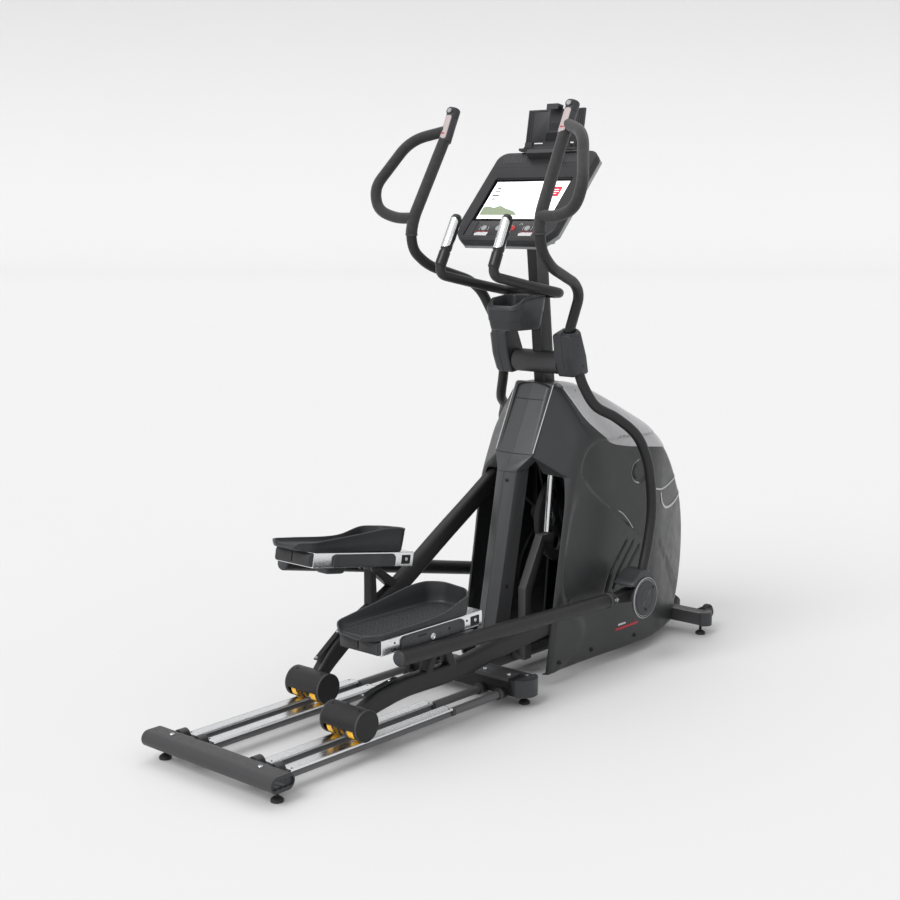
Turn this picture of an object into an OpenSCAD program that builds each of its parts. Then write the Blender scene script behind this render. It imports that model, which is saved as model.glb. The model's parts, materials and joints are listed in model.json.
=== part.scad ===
// Front-drive elliptical trainer. Two stride arms roll on twin rails behind the
// drive shroud, and pedal links join them to the swinging handlebars.
// +X points forward, from the rear stabilizer to the drive nose, and +Y is the
// user's left. The floor is z = 0. The origin is the centre of the footprint.

/* [Footprint] */
// Distance from the rear feet to the front feet
wheelbase = 1971; // [1965:1:1980]
// Half distance between the two feet of a stabilizer
foot_half = 222; // [218:1:226]
// Height of the running surface of the rails
rail_top = 60; // [59:0.5:61]
// Half spacing of the two rail pairs
lane_y = 150; // [149:0.5:151]
// Half gauge of the two rails of one pair
rail_gauge = 38; // [37.5:0.5:38.5]

/* [Crank and linkage] */
// Height of the crank centre
crank_z = 468; // [466:1:470]
// Crank radius, half of the stride
crank_r = 249; // [247:1:250]
// Lean of the cranks from upright at rest
crank_lean = 2.5; // [2.3:0.1:2.7]
// Stride arm length from roller axle to crank pin
arm_len = 1168; // [1166:1:1170]
// Height of the swing arm axis
hub_z = 985; // [983:1:987]

/* [Tubes] */
// Outer radius of the swing arm tube
swing_r = 16; // [15:0.5:16.5]
// Outer radius of the foam grips
foam_r = 18; // [17.5:0.5:18.5]
// Outer radius of the pedal link tube
link_r = 22; // [21:0.5:22]
// Outer radius of the fixed handlebar tube
bar_r = 15; // [14:0.5:15.5]

/* [Console] */
// Half width of the console
console_half = 194; // [190:1:196]
// Slope of the console face from level
console_slope = 47.2; // [46:0.2:48]
// Display width
display_w = 294; // [290:1:296]
// Display height
display_h = 165; // [160:1:168]

/* [Shroud] */
// Half width of the drive shroud
shroud_half = 186; // [185:1:188]
// Wall thickness of the moulded shells
wall = 4; // [3:0.5:4.5]

/* [Hidden] */
$fn = 48;
RIGHT = -1;
LEFT = 1;
RUN = 0.05;    // radial running fit of shafts and pins
GAP = 0.4;     // air gap around loose parts
x0 = -1040;    // X of the rear feet
function at(d) = x0 + d;

// Linkage, solved from the driving dimensions. Points are [x, z].
axle_z = 98.3;
crank = [at(1476), crank_z];
hub = [at(1335), hub_z];
right_joint = [at(1490), 240];
pivot_in_arm = [369, 145];
function turn(p, a) = [p[0]*cos(a) - p[1]*sin(a), p[0]*sin(a) + p[1]*cos(a)];
function pin(s) = crank - s*crank_r*[sin(crank_lean), -cos(crank_lean)];
function roller_x(s) = pin(s)[0] - sqrt(pow(arm_len, 2) - pow(pin(s)[1] - axle_z, 2));
function arm_angle(s) = atan2(pin(s)[1] - axle_z, pin(s)[0] - roller_x(s));
function pivot(s) = [roller_x(s), axle_z] + turn(pivot_in_arm, arm_angle(s));
link_len = norm(right_joint - pivot(RIGHT));
swing_len = norm(right_joint - hub);
// The lower meeting point of a circle about p and a circle about q
function meet(p, q, rp, rq) =
    let (d = norm(q - p), a = (rp*rp - rq*rq + d*d)/(2*d), h = sqrt(rp*rp - a*a), u = (q - p)/d)
    p + a*u + h*[u[1], -u[0]];
function joint(s) = meet(pivot(s), hub, link_len, swing_len);
function link_angle(s) = atan2(joint(s)[1] - pivot(s)[1], joint(s)[0] - pivot(s)[0]);
function swing_angle(s) = atan2(joint(s)[0] - hub[0], hub[1] - joint(s)[1]);

// Lanes across the machine, as distances from the centre plane
post_lane = [22, 30];
crank_lane = [98, 116];
arm_lane = [132, 168];
channel_lane = [75, 225];
plate_lane = [66, 234];
link_y = 245;
swing_y = 290;
incline_y = -58;

// Rails and carriages
track_w = 37;
track_t = 6;
rail_r = 12;
tube_wall = 2.5;
rail_z = rail_top - track_t - rail_r;
track_x = [at(62), at(683)];
roller_r = axle_z - rail_top - 0.3;
roller_w = 26;
axle_r = 9;
housing_r = 44;
housing_z = 106;
housing_half = 68.5;
housing_wall = 5;

// Stabilizers, feet and wheels
stab_x = at(-11);
stab_z = 59;
stab_r = 22;
stab_flat = 18;
stab_half = 250;
tube_half = 235;
mid_x = [at(930), at(1022)];
mid_z = [36, 84];
front_x = [at(wheelbase - 26), at(wheelbase + 26)];
front_z = [38, 80];
stud_r = 5;
// Each foot: X, and the underside of its stabilizer
feet = [[at(0), stab_z - stab_r], [at(989), mid_z[0]], [at(wheelbase), front_z[0]]];
wheel_c = [front_x[1] + 34, 64];
wheel_r = 28;
wheel_y = [199, 221];

// Frame and drive
beam_half = 20;
beam_z = [42, 78];
mast_base = [at(1382), 700];
mast_top = 1440;
mast_lean = atan(30/285);
mast_w = [58, 36];
hub_r = 36;
swing_axle_r = 12.5;
crank_axle_r = 15;
pulley_r = 150;
small_r = 24;
fly = [at(1850), 330];
fly_r = 135;
fly_lane = [-32, -16];
fork_lane = [34, 40];

// ---- helpers -------------------------------------------------------------
// Each side is drawn at +Y, and the right side is its mirror image
module sided(s) {
    if (s > 0) children();
    else mirror([0, 1, 0]) children();
}
module both_sides() {
    for (s = [RIGHT, LEFT]) sided(s) children();
}
module box(lo, hi) {
    translate(lo) cube(hi - lo);
}
module rod(a, b, r) {
    d = b - a;
    translate(a) rotate([0, acos(d[2]/norm(d)), atan2(d[1], d[0])]) cylinder(r = r, h = norm(d));
}
// A bent tube through a list of points, with a slightly fuller ball at each bend
module bent_tube(points, r) {
    for (i = [0:len(points) - 2]) rod(points[i], points[i + 1], r);
    for (i = [1:len(points) - 2]) translate(points[i]) sphere(r = r + 0.3);
}
// A shaft along Y, centred on an [x, z] point
module shaft(c, y1, y2, r) {
    translate([c[0], y2, c[1]]) rotate([90, 0, 0]) cylinder(r = r, h = y2 - y1);
}
module ring(c, y1, y2, r, bore) difference() {
    shaft(c, y1, y2, r);
    shaft(c, y1 - 1, y2 + 1, bore);
}
// An X-Z outline stretched between two Y planes
module slab(y1, y2) {
    translate([0, y2, 0]) rotate([90, 0, 0]) linear_extrude(y2 - y1) children();
}
// A counter-clockwise outline moved inwards by d
function inset(p, d) = [for (i = [0:len(p) - 1])
    let (n = len(p), b = p[i], u = b - p[(i + n - 1)%n], v = p[(i + 1)%n] - b,
        m = [-u[1], u[0]]/norm(u), k = [-v[1], v[0]]/norm(v)) b + d*(m + k)/(1 + m*k)];

// The outline of a bar of half height h that follows a path, mitred at its bends
function mitre(p, i) =
    let (u = p[max(i, 1)] - p[max(i, 1) - 1], v = p[min(i, len(p) - 2) + 1] - p[min(i, len(p) - 2)],
        m = [-u[1], u[0]]/norm(u), k = [-v[1], v[0]]/norm(v)) (m + k)/(1 + m*k);
function strip(p, h) = concat([for (i = [0:len(p) - 1]) p[i] - h*mitre(p, i)],
    [for (i = [len(p) - 1:-1:0]) p[i] + h*mitre(p, i)]);

module place_arm(s) {
    sided(s) translate([roller_x(s), 0, axle_z]) rotate([0, -arm_angle(s), 0]) children();
}
module place_link(s) {
    sided(s) translate([pivot(s)[0], 0, pivot(s)[1]]) rotate([0, -link_angle(s), 0]) children();
}
// The pedal's own level plane is level when the right side is at rest
module place_pedal(s) {
    place_link(s) rotate([0, link_angle(RIGHT), 0]) children();
}
// The swing arm is drawn where the right one rests
module place_swing(s) {
    sided(s) translate([hub[0], 0, hub[1]]) rotate([0, swing_angle(RIGHT) - swing_angle(s), 0])
        translate([-hub[0], 0, -hub[1]]) children();
}

// ---- base ----------------------------------------------------------------
// A racetrack bar along Y
module racetrack(y1, y2, flat, r) {
    for (g = [-1, 1]) shaft([stab_x + g*flat, stab_z], y1, y2, r);
    box([stab_x - flat, y1, stab_z - r], [stab_x + flat, y2, stab_z + r]);
}
module rail_lines() {
    for (s = [RIGHT, LEFT], g = [-1, 1]) translate([0, s*lane_y + g*rail_gauge, 0]) children();
}
module stud_holes(x) {
    for (s = [RIGHT, LEFT]) translate([x, s*foot_half, 30]) cylinder(r = stud_r + RUN, h = 20);
}
module rear_stabilizer() color("#2b2c2e") difference() {
    union() {
        racetrack(-stab_half, stab_half, stab_flat, stab_r);
        rail_lines() {
            box([at(20), -20, rail_z - 14], [at(46), 20, stab_z + 4]);
            translate([at(20), 0, stab_z + 4]) rotate([0, 90, 0]) cylinder(r = 20, h = 26);
        }
    }
    racetrack(-stab_half - 1, stab_half + 1, stab_flat, stab_r - 3);
    rail_lines() translate([at(31), 0, rail_z]) rotate([0, 90, 0]) cylinder(r = rail_r + RUN, h = 40);
    stud_holes(feet[0][0]);
}
module rail_tubes() color("#1d1e20") rail_lines() translate([at(31), 0, rail_z]) rotate([0, 90, 0])
    difference() {
        cylinder(r = rail_r, h = mid_x[0] - at(31));
        translate([0, 0, -1]) cylinder(r = rail_r - tube_wall, h = wheelbase);
    }
module rail_tracks() color("#c9cacb") rail_lines() difference() {
    union() {
        box([track_x[0], -track_w/2, rail_top - track_t], [track_x[1], track_w/2, rail_top]);
        box([track_x[0], -9, rail_top - track_t - 6], [track_x[1], 9, rail_top - track_t + 1]);
    }
    translate([track_x[0] - 1, 0, rail_z]) rotate([0, 90, 0])
        cylinder(r = rail_r + RUN, h = track_x[1] - track_x[0] + 2);
}
module mid_stabilizer() color("#2b2c2e") difference() {
    union() {
        box([mid_x[0], -tube_half, mid_z[0]], [mid_x[1], tube_half, mid_z[1]]);
        rail_lines() translate([mid_x[0] - 16, 0, rail_z]) rotate([0, 90, 0]) cylinder(r = rail_r + 4, h = 20);
        for (s = [RIGHT, LEFT]) translate([0, s*lane_y, 0])
            box([mid_x[0] - 12, -62, mid_z[1] - 1], [mid_x[0] + 44, 62, mid_z[1] + 10]);
    }
    box([mid_x[0] + 6, -tube_half - 1, mid_z[0] + 4], [mid_x[1] - 4, tube_half + 1, mid_z[1] - 4]);
    rail_lines() translate([mid_x[0] - 20, 0, rail_z]) rotate([0, 90, 0]) cylinder(r = rail_r + RUN, h = 20);
    stud_holes(feet[1][0]);
}
module front_stabilizer() color("#2b2c2e") {
    difference() {
        box([front_x[0], -tube_half, front_z[0]], [front_x[1], tube_half, front_z[1]]);
        box([front_x[0] + 3, -tube_half - 1, front_z[0] + 3], [front_x[1] - 3, tube_half + 1, front_z[1] - 3]);
        stud_holes(feet[2][0]);
    }
    both_sides() {
        for (y = [wheel_y[0] - 5, wheel_y[1] + 2]) {
            box([front_x[1] - 1, y, front_z[0] + 6], [wheel_c[0], y + 3, front_z[1] + 2]);
            shaft(wheel_c, y, y + 3, 18);
        }
        shaft(wheel_c, wheel_y[0] - 7, wheel_y[1] + 7, stud_r);
    }
}
module hood_cap(x, z, reach) {
    r = (x[1] - x[0])/2 + 5;
    intersection() {
        box([x[0] - 3, tube_half, z[0] - 2], [x[1] + 3, tube_half + reach, z[1] + 3]);
        translate([(x[0] + x[1])/2, tube_half + reach - r, 0]) cylinder(r = r, h = 200);
    }
}
module stabilizer_caps() color("#3a3b3d") both_sides() {
    difference() {
        racetrack(stab_half, stab_half + 7, stab_flat, stab_r);
        for (g = [-1, 1]) {
            box([stab_x + g*17 - 13, stab_half + 2, stab_z - 9], [stab_x + g*17 + 13, stab_half + 9, stab_z + 9]);
            for (h = [-1, 1]) shaft([stab_x + g*17 + h*8, stab_z], stab_half + 2, stab_half + 9, 12);
        }
    }
    hood_cap(mid_x, mid_z, 34);
    hood_cap(front_x, front_z, 27);
}
module levelling_feet() color("#17181a") for (f = feet, s = [RIGHT, LEFT]) translate([f[0], s*foot_half, 0]) {
    cylinder(r = 17, h = 9);
    translate([0, 0, 9]) cylinder(r1 = 17, r2 = 9, h = 5);
    translate([0, 0, 13]) cylinder(r = stud_r, h = f[1] - 9);
    translate([0, 0, f[1] - 7]) cylinder(r = 9, h = 7, $fn = 6);
}
module transport_wheels() color("#303133") both_sides() difference() {
    shaft(wheel_c, wheel_y[0], wheel_y[1], wheel_r);
    shaft(wheel_c, wheel_y[0] - 1, wheel_y[1] + 1, stud_r + RUN);
    ring(wheel_c, wheel_y[1] - 3, wheel_y[1] + 1, wheel_r - 6, 12);
}

// ---- frame and drive -----------------------------------------------------
// Floor beam, two crank posts bridged under the mast, and the flywheel fork
module main_frame() color("#202124") {
    difference() {
        box([mid_x[1], -beam_half, beam_z[0]], [front_x[0], beam_half, beam_z[1]]);
        box([mid_x[1] + 4, 3 - beam_half, beam_z[0] + 3], [front_x[0] - 4, beam_half - 3, beam_z[1] - 3]);
    }
    both_sides() {
        difference() {
            slab(post_lane[0], post_lane[1]) polygon([[crank[0] - 80, 60], [crank[0] + 80, 60],
                [crank[0] + 46, crank_z + 30], [mast_base[0] + 34, mast_base[1]],
                [mast_base[0] - 34, mast_base[1]], [crank[0] - 46, crank_z - 30]]);
            shaft(crank, 20, 32, crank_axle_r + 3);
        }
        box([crank[0] - 80, beam_half - 1, 60], [crank[0] + 80, post_lane[0] + 1, beam_z[1]]);
        difference() {
            slab(fork_lane[0], fork_lane[1]) polygon([[fly[0] - 60, 60], [fly[0] + 60, 60],
                [fly[0] + 22, fly[1] + 26], [fly[0] - 22, fly[1] + 26]]);
            shaft(fly, fork_lane[0] - 1, fork_lane[1] + 1, 8 + RUN);
        }
        box([fly[0] - 60, beam_half - 1, 60], [fly[0] + 60, fork_lane[0] + 1, beam_z[1]]);
    }
    box([mast_base[0] - 34, -post_lane[1], mast_base[1] - 40], [mast_base[0] + 34, post_lane[1], mast_base[1]]);
}
module on_mast() translate([mast_base[0], 0, mast_base[1]]) rotate([0, -mast_lean, 0]) children();
module mast() color("#26272a") difference() {
    union() {
        difference() {
            on_mast() box([-mast_w[0]/2, -mast_w[1]/2, -20], [mast_w[0]/2, mast_w[1]/2, 760]);
            box([mast_base[0] - 99, -50, mast_base[1] - 99], [mast_base[0] + 99, 50, mast_base[1]]);
            box([mast_base[0] - 299, -50, mast_top], [mast_base[0] + 99, 50, mast_top + 99]);
        }
        shaft(hub, -88, 88, hub_r);
    }
    shaft(hub, -90, 90, swing_axle_r + RUN);
    shaft([bar_x, bar_z], -50, 50, bar_r + RUN);
}
module swing_axle() color("#8d8f92") {
    shaft(hub, -158, 158, swing_axle_r);
    both_sides() shaft(hub, 157, 161, swing_axle_r + 5);
}
module crank_axle() color("#9a9c9f") shaft(crank, -118, 118, crank_axle_r);
module crank_bearings() color("#6f7174") both_sides() ring(crank, post_lane[1], 44, 34, crank_axle_r + RUN);
module crank_arms() color("#2f3033") for (s = [RIGHT, LEFT]) sided(s)
    translate([crank[0], 0, crank[1]]) rotate([0, s > 0 ? -crank_lean : 180 - crank_lean, 0]) {
        difference() {
            union() {
                shaft([0, 0], crank_lane[0], crank_lane[1], 34);
                shaft([0, crank_r], crank_lane[0], crank_lane[1], 26);
                box([-22, crank_lane[0], 0], [22, crank_lane[1], crank_r]);
            }
            shaft([0, 0], crank_lane[0] - 1, 119, crank_axle_r);
        }
        shaft([0, crank_r], crank_lane[1] - 1, arm_lane[0] - 2.5, 10);
    }
module drive_pulley() color("#4a4b4e") difference() {
    union() {
        shaft(crank, -11, 11, pulley_r);
        shaft(crank, -18, 18, 40);
    }
    shaft(crank, -20, 20, crank_axle_r);
    for (a = [0:60:300]) shaft(crank + 95*[cos(a), sin(a)], -20, 20, 27);
}
module flywheel() color("#55575a") {
    difference() {
        shaft(fly, fly_lane[0], fly_lane[1], fly_r);
        ring(fly, fly_lane[0] - 1, fly_lane[0] + 4, fly_r - 28, 30);
    }
    shaft(fly, -44, 44, 8);
    shaft(fly, -10, 10, small_r);
    shaft(fly, fly_lane[1] - 1, 12, 14);
}
// Outline of a belt that wraps both pulleys
belt_d = norm(fly - crank);
belt_t = acos((pulley_r - small_r)/belt_d);
belt_lean = atan2(fly[1] - crank[1], fly[0] - crank[0]);
function belt_pts(grow) = concat(
    [for (i = [0:8]) let (a = -belt_t + belt_t*i/4) [belt_d, 0] + (small_r + grow)*[cos(a), sin(a)]],
    [for (i = [0:36]) let (a = belt_t + (360 - 2*belt_t)*i/36) (pulley_r + grow)*[cos(a), sin(a)]]);
module drive_belt() color("#18191b") difference() {
    slab(-9, 9) translate(crank) rotate(belt_lean) polygon(belt_pts(3.5));
    slab(-10, 10) translate(crank) rotate(belt_lean) polygon(belt_pts(1.2));
}
// Magnet pads each side of the flywheel rim, on a yoke
module brake_unit() color("#3c3e42") {
    for (y = [[-42, -35], [-13, -6]]) {
        box([fly[0] + 60, y[0], 170], [fly[0] + 108, y[1], 255]);
        box([fly[0] + 60, y[0], 170], [fly[0] + 146, y[1], 188]);
    }
    box([fly[0] + 139, -42, 170], [fly[0] + 146, -6, 188]);
    box([fly[0] + 112, -42, front_z[1]], [fly[0] + 146, -35, 172]);
    box([fly[0] + 100, -42, front_z[1]], [fly[0] + 146, -6, front_z[1] + 5]);
}
module incline_tube() color("#d4d5d6") rod([at(1307), incline_y, 449], [at(1330), incline_y, 690], 12.5);
module incline_lever() color("#7c7e80") {
    slab(incline_y - 14, incline_y + 14) polygon([[at(1322), 418], [at(1322), 446], [at(1262), 446],
        [at(1178), 288], [at(1178), 100], [at(1212), 100], [at(1212), 272], [at(1284), 418]]);
    box([at(1178), incline_y - 14, beam_z[1] - 20], [at(1212), incline_y + 14, 101]);
    box([at(1178), incline_y + 10, beam_z[1] - 20], [at(1212), -beam_half, beam_z[1]]);
}
module incline_motor() color("#35373a") {
    box([at(1296), incline_y - 22, 694], [at(1362), incline_y + 22, 770]);
    box([at(1310), incline_y + 21, 720], [at(1352), -post_lane[1] + 4, 750]);
    box([at(1340), -34, 720], [at(1352), -18.5, 750]);
}

// ---- shroud --------------------------------------------------------------
nose_x = 1091;
nose_r = 330;
nose_z = 300;
nose_arc = [for (a = [-48:12:48]) [nose_x - nose_r, nose_z] + nose_r*[cos(a), sin(a)]];
// Side view: a leaning rear edge, a flat bottom and a round nose
side_pts = concat([[at(1158), 34], [at(2096), 34], [at(2112), 60]], nose_arc,
    [[at(1940), 634], [at(1845), 712], [at(1700), 800], [at(1520), 886], [at(1405), 918],
    [at(1300), 922], [at(1205), 706], [at(1262), 640]]);
// Plan view: parallel flanks that close to a narrow nose
plan_half = [[nose_x, 0], [nose_x - 6, 30], [nose_x - 22, 52], [at(2040), 84], [at(1940), 122],
    [at(1850), 150], [at(1780), 170], [at(1680), shroud_half], [at(1100), shroud_half]];
plan_pts = concat(plan_half, [for (i = [len(plan_half) - 1:-1:1]) [plan_half[i][0], -plan_half[i][1]]]);
// Front view: upright flanks under shoulders that lean in to the mast
front_pts = [[-shroud_half, 20], [shroud_half, 20], [shroud_half, 750], [140, 830], [74, 925],
    [-74, 925], [-140, 830], [-shroud_half, 750]];
// The rear shoulder plane: a point on it and its outward normal
shoulder_at = [at(1310), 74, 920];
shoulder_n = [-0.726, 0.604, 0.330];
module shroud_form(d) difference() {
    intersection() {
        slab(-220, 220) polygon(inset(side_pts, d));
        linear_extrude(960) polygon(inset(plan_pts, d));
        translate([at(1100), 0, 0]) rotate([90, 0, 90]) linear_extrude(1100) polygon(inset(front_pts, d));
    }
    translate(shoulder_at - d*shoulder_n)
        rotate([0, acos(shoulder_n[2]), atan2(shoulder_n[1], shoulder_n[0])])
        box([-500, -500, 0], [500, 500, 500]);
}
slot_top = 646;
spine_half = 74;
module half_shroud(s) sided(s) difference() {
    shroud_form(0);
    shroud_form(wall);
    box([at(1050), -300, 0], [at(2300), 0.2, 999]);
    // rear slot for the stride arm, and the gap behind the spine cover
    box([at(1100), 30, 42], [at(1345), shroud_half - wall, slot_top]);
    box([at(1050), -1, 0], [at(1222), 46, 999]);
    box([at(1050), -1, 600], [at(1332), spine_half + GAP, 999]);
    box([at(1200), -1, 300], [at(1262), 46, 999]);
    // passages for the mast and the front stabilizer
    box([at(1300), -1, 880], [at(1396), mast_w[1]/2 + 3, 999]);
    box([front_x[0] - 3, -1, 0], [front_x[1] + 3, 260, front_z[1] + 7]);
}
module right_shroud() color("#34363a") half_shroud(RIGHT);
module left_shroud() color("#34363a") half_shroud(LEFT);
// Silver panels that lie over the shoulders of the shroud
module shroud_trim() color("#a9abad") both_sides() intersection() {
    difference() {
        shroud_form(-2.5);
        shroud_form(0);
    }
    slab(40, 230) polygon([[at(1352), 872], [at(1372), 790], [at(1480), 716], [at(1640), 690],
        [at(1800), 690], [at(1820), 740], [at(1560), 900], [at(1440), 930]]);
}
// Centre cover between the slots, with a crease down its middle.
// Each section: crease x, edge x, front x, half width, height
spine_rows = [[1040, 1056, 1120, 30, 84], [1066, 1080, 1150, 35, 197], [1158, 1172, 1236, 38, 660],
    [1196, 1206, 1262, 73, 706], [1302, 1310, 1328, 74, 920]];
function spine_ring(r, d) = [[at(r[0] + d), 0, r[4]], [at(r[1] + d), r[3] - d, r[4]],
    [at(r[2]), r[3] - d, r[4]], [at(r[2]), d - r[3], r[4]], [at(r[1] + d), d - r[3], r[4]]];
function stack(rows, d) = [for (r = rows) each spine_ring(r, d)];
module spine_form(d, rows) {
    n = len(rows);
    side = [for (k = [0:n - 2], i = [0:4]) let (a = 5*k + i, b = 5*k + (i + 1)%5) [b, b + 5, a + 5, a]];
    polyhedron(points = stack(rows, d), faces = concat(side, [[4, 3, 2, 1, 0]],
        [[for (i = [0:4]) 5*(n - 1) + i]]), convexity = 4);
}
module spine_cover() color("#3a3c3f") difference() {
    spine_form(0, spine_rows);
    spine_form(wall, [for (r = spine_rows) [r[0], r[1], r[2] + 9, r[3], r[4] == 920 ? 916 : (r[4] == 84 ? 80 : r[4])]]);
    box([at(1000), -beam_half - 2, 0], [at(1300), beam_half + 2, beam_z[1] + 2]);
}

// ---- fixed handlebar and cup holder --------------------------------------
bar_x = at(1329);
bar_z = 1200;
bar_path = [[bar_x, 0, bar_z], [bar_x, 72, bar_z], [at(1296), 104, bar_z + 4], [at(1150), 104, 1230],
    [at(966), 104, 1266]];
pulse_top = [at(1052), 98, 1440];
pulse_dir = pulse_top - bar_path[4];
module pulse_handlebar() color("#242528") {
    shaft([bar_x, bar_z], -bar_path[1][1], bar_path[1][1], bar_r);
    both_sides() {
        for (i = [1:3]) rod(bar_path[i], bar_path[i + 1], bar_r);
        rod(bar_path[4], pulse_top, bar_r);
        for (i = [1:4]) translate(bar_path[i]) sphere(r = bar_r + 0.2);
        rod(bar_path[4] + 0.12*pulse_dir, bar_path[4] + 0.38*pulse_dir, bar_r + 2);
    }
}
module pulse_sensors() color("#e0e1e2") both_sides() difference() {
    rod(bar_path[4] + 0.42*pulse_dir, bar_path[4] + 0.93*pulse_dir, bar_r + 2.5);
    rod(bar_path[4] + 0.3*pulse_dir, pulse_top + 0.1*pulse_dir, bar_r + RUN);
}
cup_top = 1196;
cup_base = 1092;
// Bucket section at a height: narrower towards the base
function cup_ring(x, half, d) = [[at(x[0]) + d, -half + 16 + d], [at(x[0]) + 30, -half + d],
    [at(x[1]) - 24, -half + d], [at(x[1]) - d, -half + 20 + d], [at(x[1]) - d, half - 20 - d],
    [at(x[1]) - 24, half - d], [at(x[0]) + 30, half - d], [at(x[0]) + d, half - 16 - d]];
cup_x = [1128, 1300];
module cup_holder() color("#303134") difference() {
    intersection() {
        translate([0, 0, cup_base]) linear_extrude(140) polygon(cup_ring(cup_x, 66, 0));
        slab(-90, 90) polygon([[at(cup_x[0]) + 22, cup_base], [at(1262), cup_base], [at(1302), cup_top - 46],
            [at(1302), cup_top], [at(1190), cup_top], [at(cup_x[0]), cup_top - 34]]);
    }
    translate([0, 0, cup_base + 5]) linear_extrude(140) polygon(cup_ring([1152, 1250], 60, 0));
    translate([at(1214), 0, cup_base + 5]) cylinder(r = 40, h = 140);
    on_mast() box([-mast_w[0]/2 - 0.1, -60, 0], [60, 60, 700]);
}

// ---- console -------------------------------------------------------------
display_at = [at(1240.5), 0, 1485];
// Console frame: +X up the face, +Z out of the face towards the user
module on_face() translate(display_at) rotate([0, -console_slope, 0]) children();
face = [-172, 198];
function console_pts(d) = [[face[0] + d, -152 + d], [face[0] + 46, -console_half + d],
    [face[1] - 20, -console_half + d], [face[1] - d, -console_half + 22 + d],
    [face[1] - d, console_half - 22 - d], [face[1] - 20, console_half - d],
    [face[0] + 46, console_half - d], [face[0] + d, 152 - d]];
key_at = [for (y = [84, 28, -28, -84]) [-118, y]];
key_r = 10;
key_travel = 1.5;
ledge_x = face[1] - 22;
module console_shell() color("#26272a") on_face() difference() {
    union() {
        translate([0, 0, -20]) linear_extrude(20) polygon(console_pts(0));
        translate([0, 0, -1]) linear_extrude(7) polygon(console_pts(3));
    }
    box([-display_h/2 - 3, -display_w/2 - 3, -1], [display_h/2 + 3, display_w/2 + 3, 7]);
    box([-display_h/2 - 1, -display_w/2 - 1, -7], [display_h/2 + 1, display_w/2 + 1, 7]);
    box([-150, -120, 1], [-94, 120, 7]);
    translate([0, 0, -21]) linear_extrude(8) polygon(console_pts(5));
    for (k = key_at) translate([k[0], k[1], -6]) cylinder(r = key_r + GAP, h = 20);
    box([ledge_x - 8, -64, -2], [ledge_x + 8, 64, 10]);
}
neck = [40, 28];
module console_back() color("#b9bbbd") difference() {
    union() {
        on_face() translate([0, 0, -32]) linear_extrude(12) polygon(console_pts(2));
        on_face() translate([0, 0, -56]) linear_extrude(25) polygon(console_pts(36));
        intersection() {
            on_mast() box([-neck[0], -neck[1], 672], [neck[0], neck[1], 900]);
            on_face() box([-200, -60, -200], [200, 60, -50]);
        }
    }
    on_face() translate([0, 0, -51]) linear_extrude(32) polygon(console_pts(41));
    on_mast() box([-mast_w[0]/2 - 0.3, -mast_w[1]/2 - 0.3, 0], [mast_w[0]/2 + 0.3, mast_w[1]/2 + 0.3, 752]);
}
module screen() color("#d8dadc") on_face()
    box([-display_h/2 - 0.6, -display_w/2 - 0.6, -7], [display_h/2 + 0.6, display_w/2 + 0.6, -1]);
module round_key(i) on_face() translate([key_at[i][0], key_at[i][1], -6 + key_travel + 0.3]) {
    cylinder(r = key_r, h = 8);
    translate([0, 0, 8]) cylinder(r1 = key_r, r2 = key_r - 1, h = 1);
}
module incline_rocker() color("#cfd1d3") round_key(0);
module start_key() color("#cfd1d3") round_key(1);
module stop_key() color("#c23a3a") round_key(2);
module resistance_rocker() color("#cfd1d3") round_key(3);
// Tablet rest: a ledge on the console's top edge and a plate behind it
tablet_lean = 10;
tablet_half = 108;
module on_plate() translate([at(1383), 0, 1628]) rotate([0, tablet_lean, 0]) children();
clamp_half = 22;
module tablet_holder() color("#2c2d30") difference() {
    union() {
        on_plate() box([0, -tablet_half, 4], [9, tablet_half, 138]);
        on_plate() box([-30, -tablet_half, 4], [9, tablet_half, 12]);
        for (s = [RIGHT, LEFT]) on_plate() translate([0, s*72, 0]) box([-30, -14, 4], [-24, 14, 30]);
        on_face() box([ledge_x - 7.5, -63.5, -2], [ledge_x + 7.5, 63.5, 30]);
        on_face() box([ledge_x, -63.5, 7], [ledge_x + 26, 63.5, 24]);
    }
    on_plate() box([-1, -clamp_half - GAP, 60], [5 + GAP, clamp_half + GAP, 140]);
    for (s = [RIGHT, LEFT]) on_plate() box([-1, s*60 - 20, 30], [10, s*60 + 20, 36]);
    on_face() translate([0, 0, -20]) linear_extrude(22) polygon(console_pts(300));
}
module tablet_clamp() color("#3a3b3e") on_plate() {
    box([0.2, -clamp_half, 64], [5, clamp_half, 150]);
    box([-24, -clamp_half, 142], [5, clamp_half, 150]);
    box([-24, -clamp_half, 132], [-20, clamp_half, 150]);
}

// ---- stride carriages and arms -------------------------------------------
module roller_axle(s) sided(s)
    shaft([roller_x(s), axle_z], lane_y - housing_half + 1, lane_y + housing_half - 1, axle_r);
module rollers(s) sided(s) for (g = [-1, 1]) {
    y = lane_y + g*rail_gauge;
    difference() {
        ring([roller_x(s), axle_z], y - roller_w/2, y + roller_w/2, roller_r, axle_r + RUN);
        ring([roller_x(s), axle_z], y + g*(roller_w/2) - 3, y + g*(roller_w/2) + 3, roller_r - 7, 15);
    }
}
module roller_housing(s) sided(s) translate([roller_x(s), 0, 0]) difference() {
    shaft([0, housing_z], lane_y - housing_half, lane_y + housing_half, housing_r);
    shaft([0, housing_z], lane_y - housing_half + housing_wall, lane_y + housing_half - housing_wall, housing_r - 3);
    shaft([0, axle_z], lane_y - housing_half - 1, lane_y + housing_half + 1, axle_r + RUN);
    // open underside for the rollers
    box([-60, lane_y - housing_half + housing_wall, 40], [60, lane_y + housing_half - housing_wall, 91]);
    // front slot for the stride arm
    box([-2, arm_lane[0] - 3, 60], [60, arm_lane[1] + 3, 160]);
}
arm_half = 29;
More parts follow.
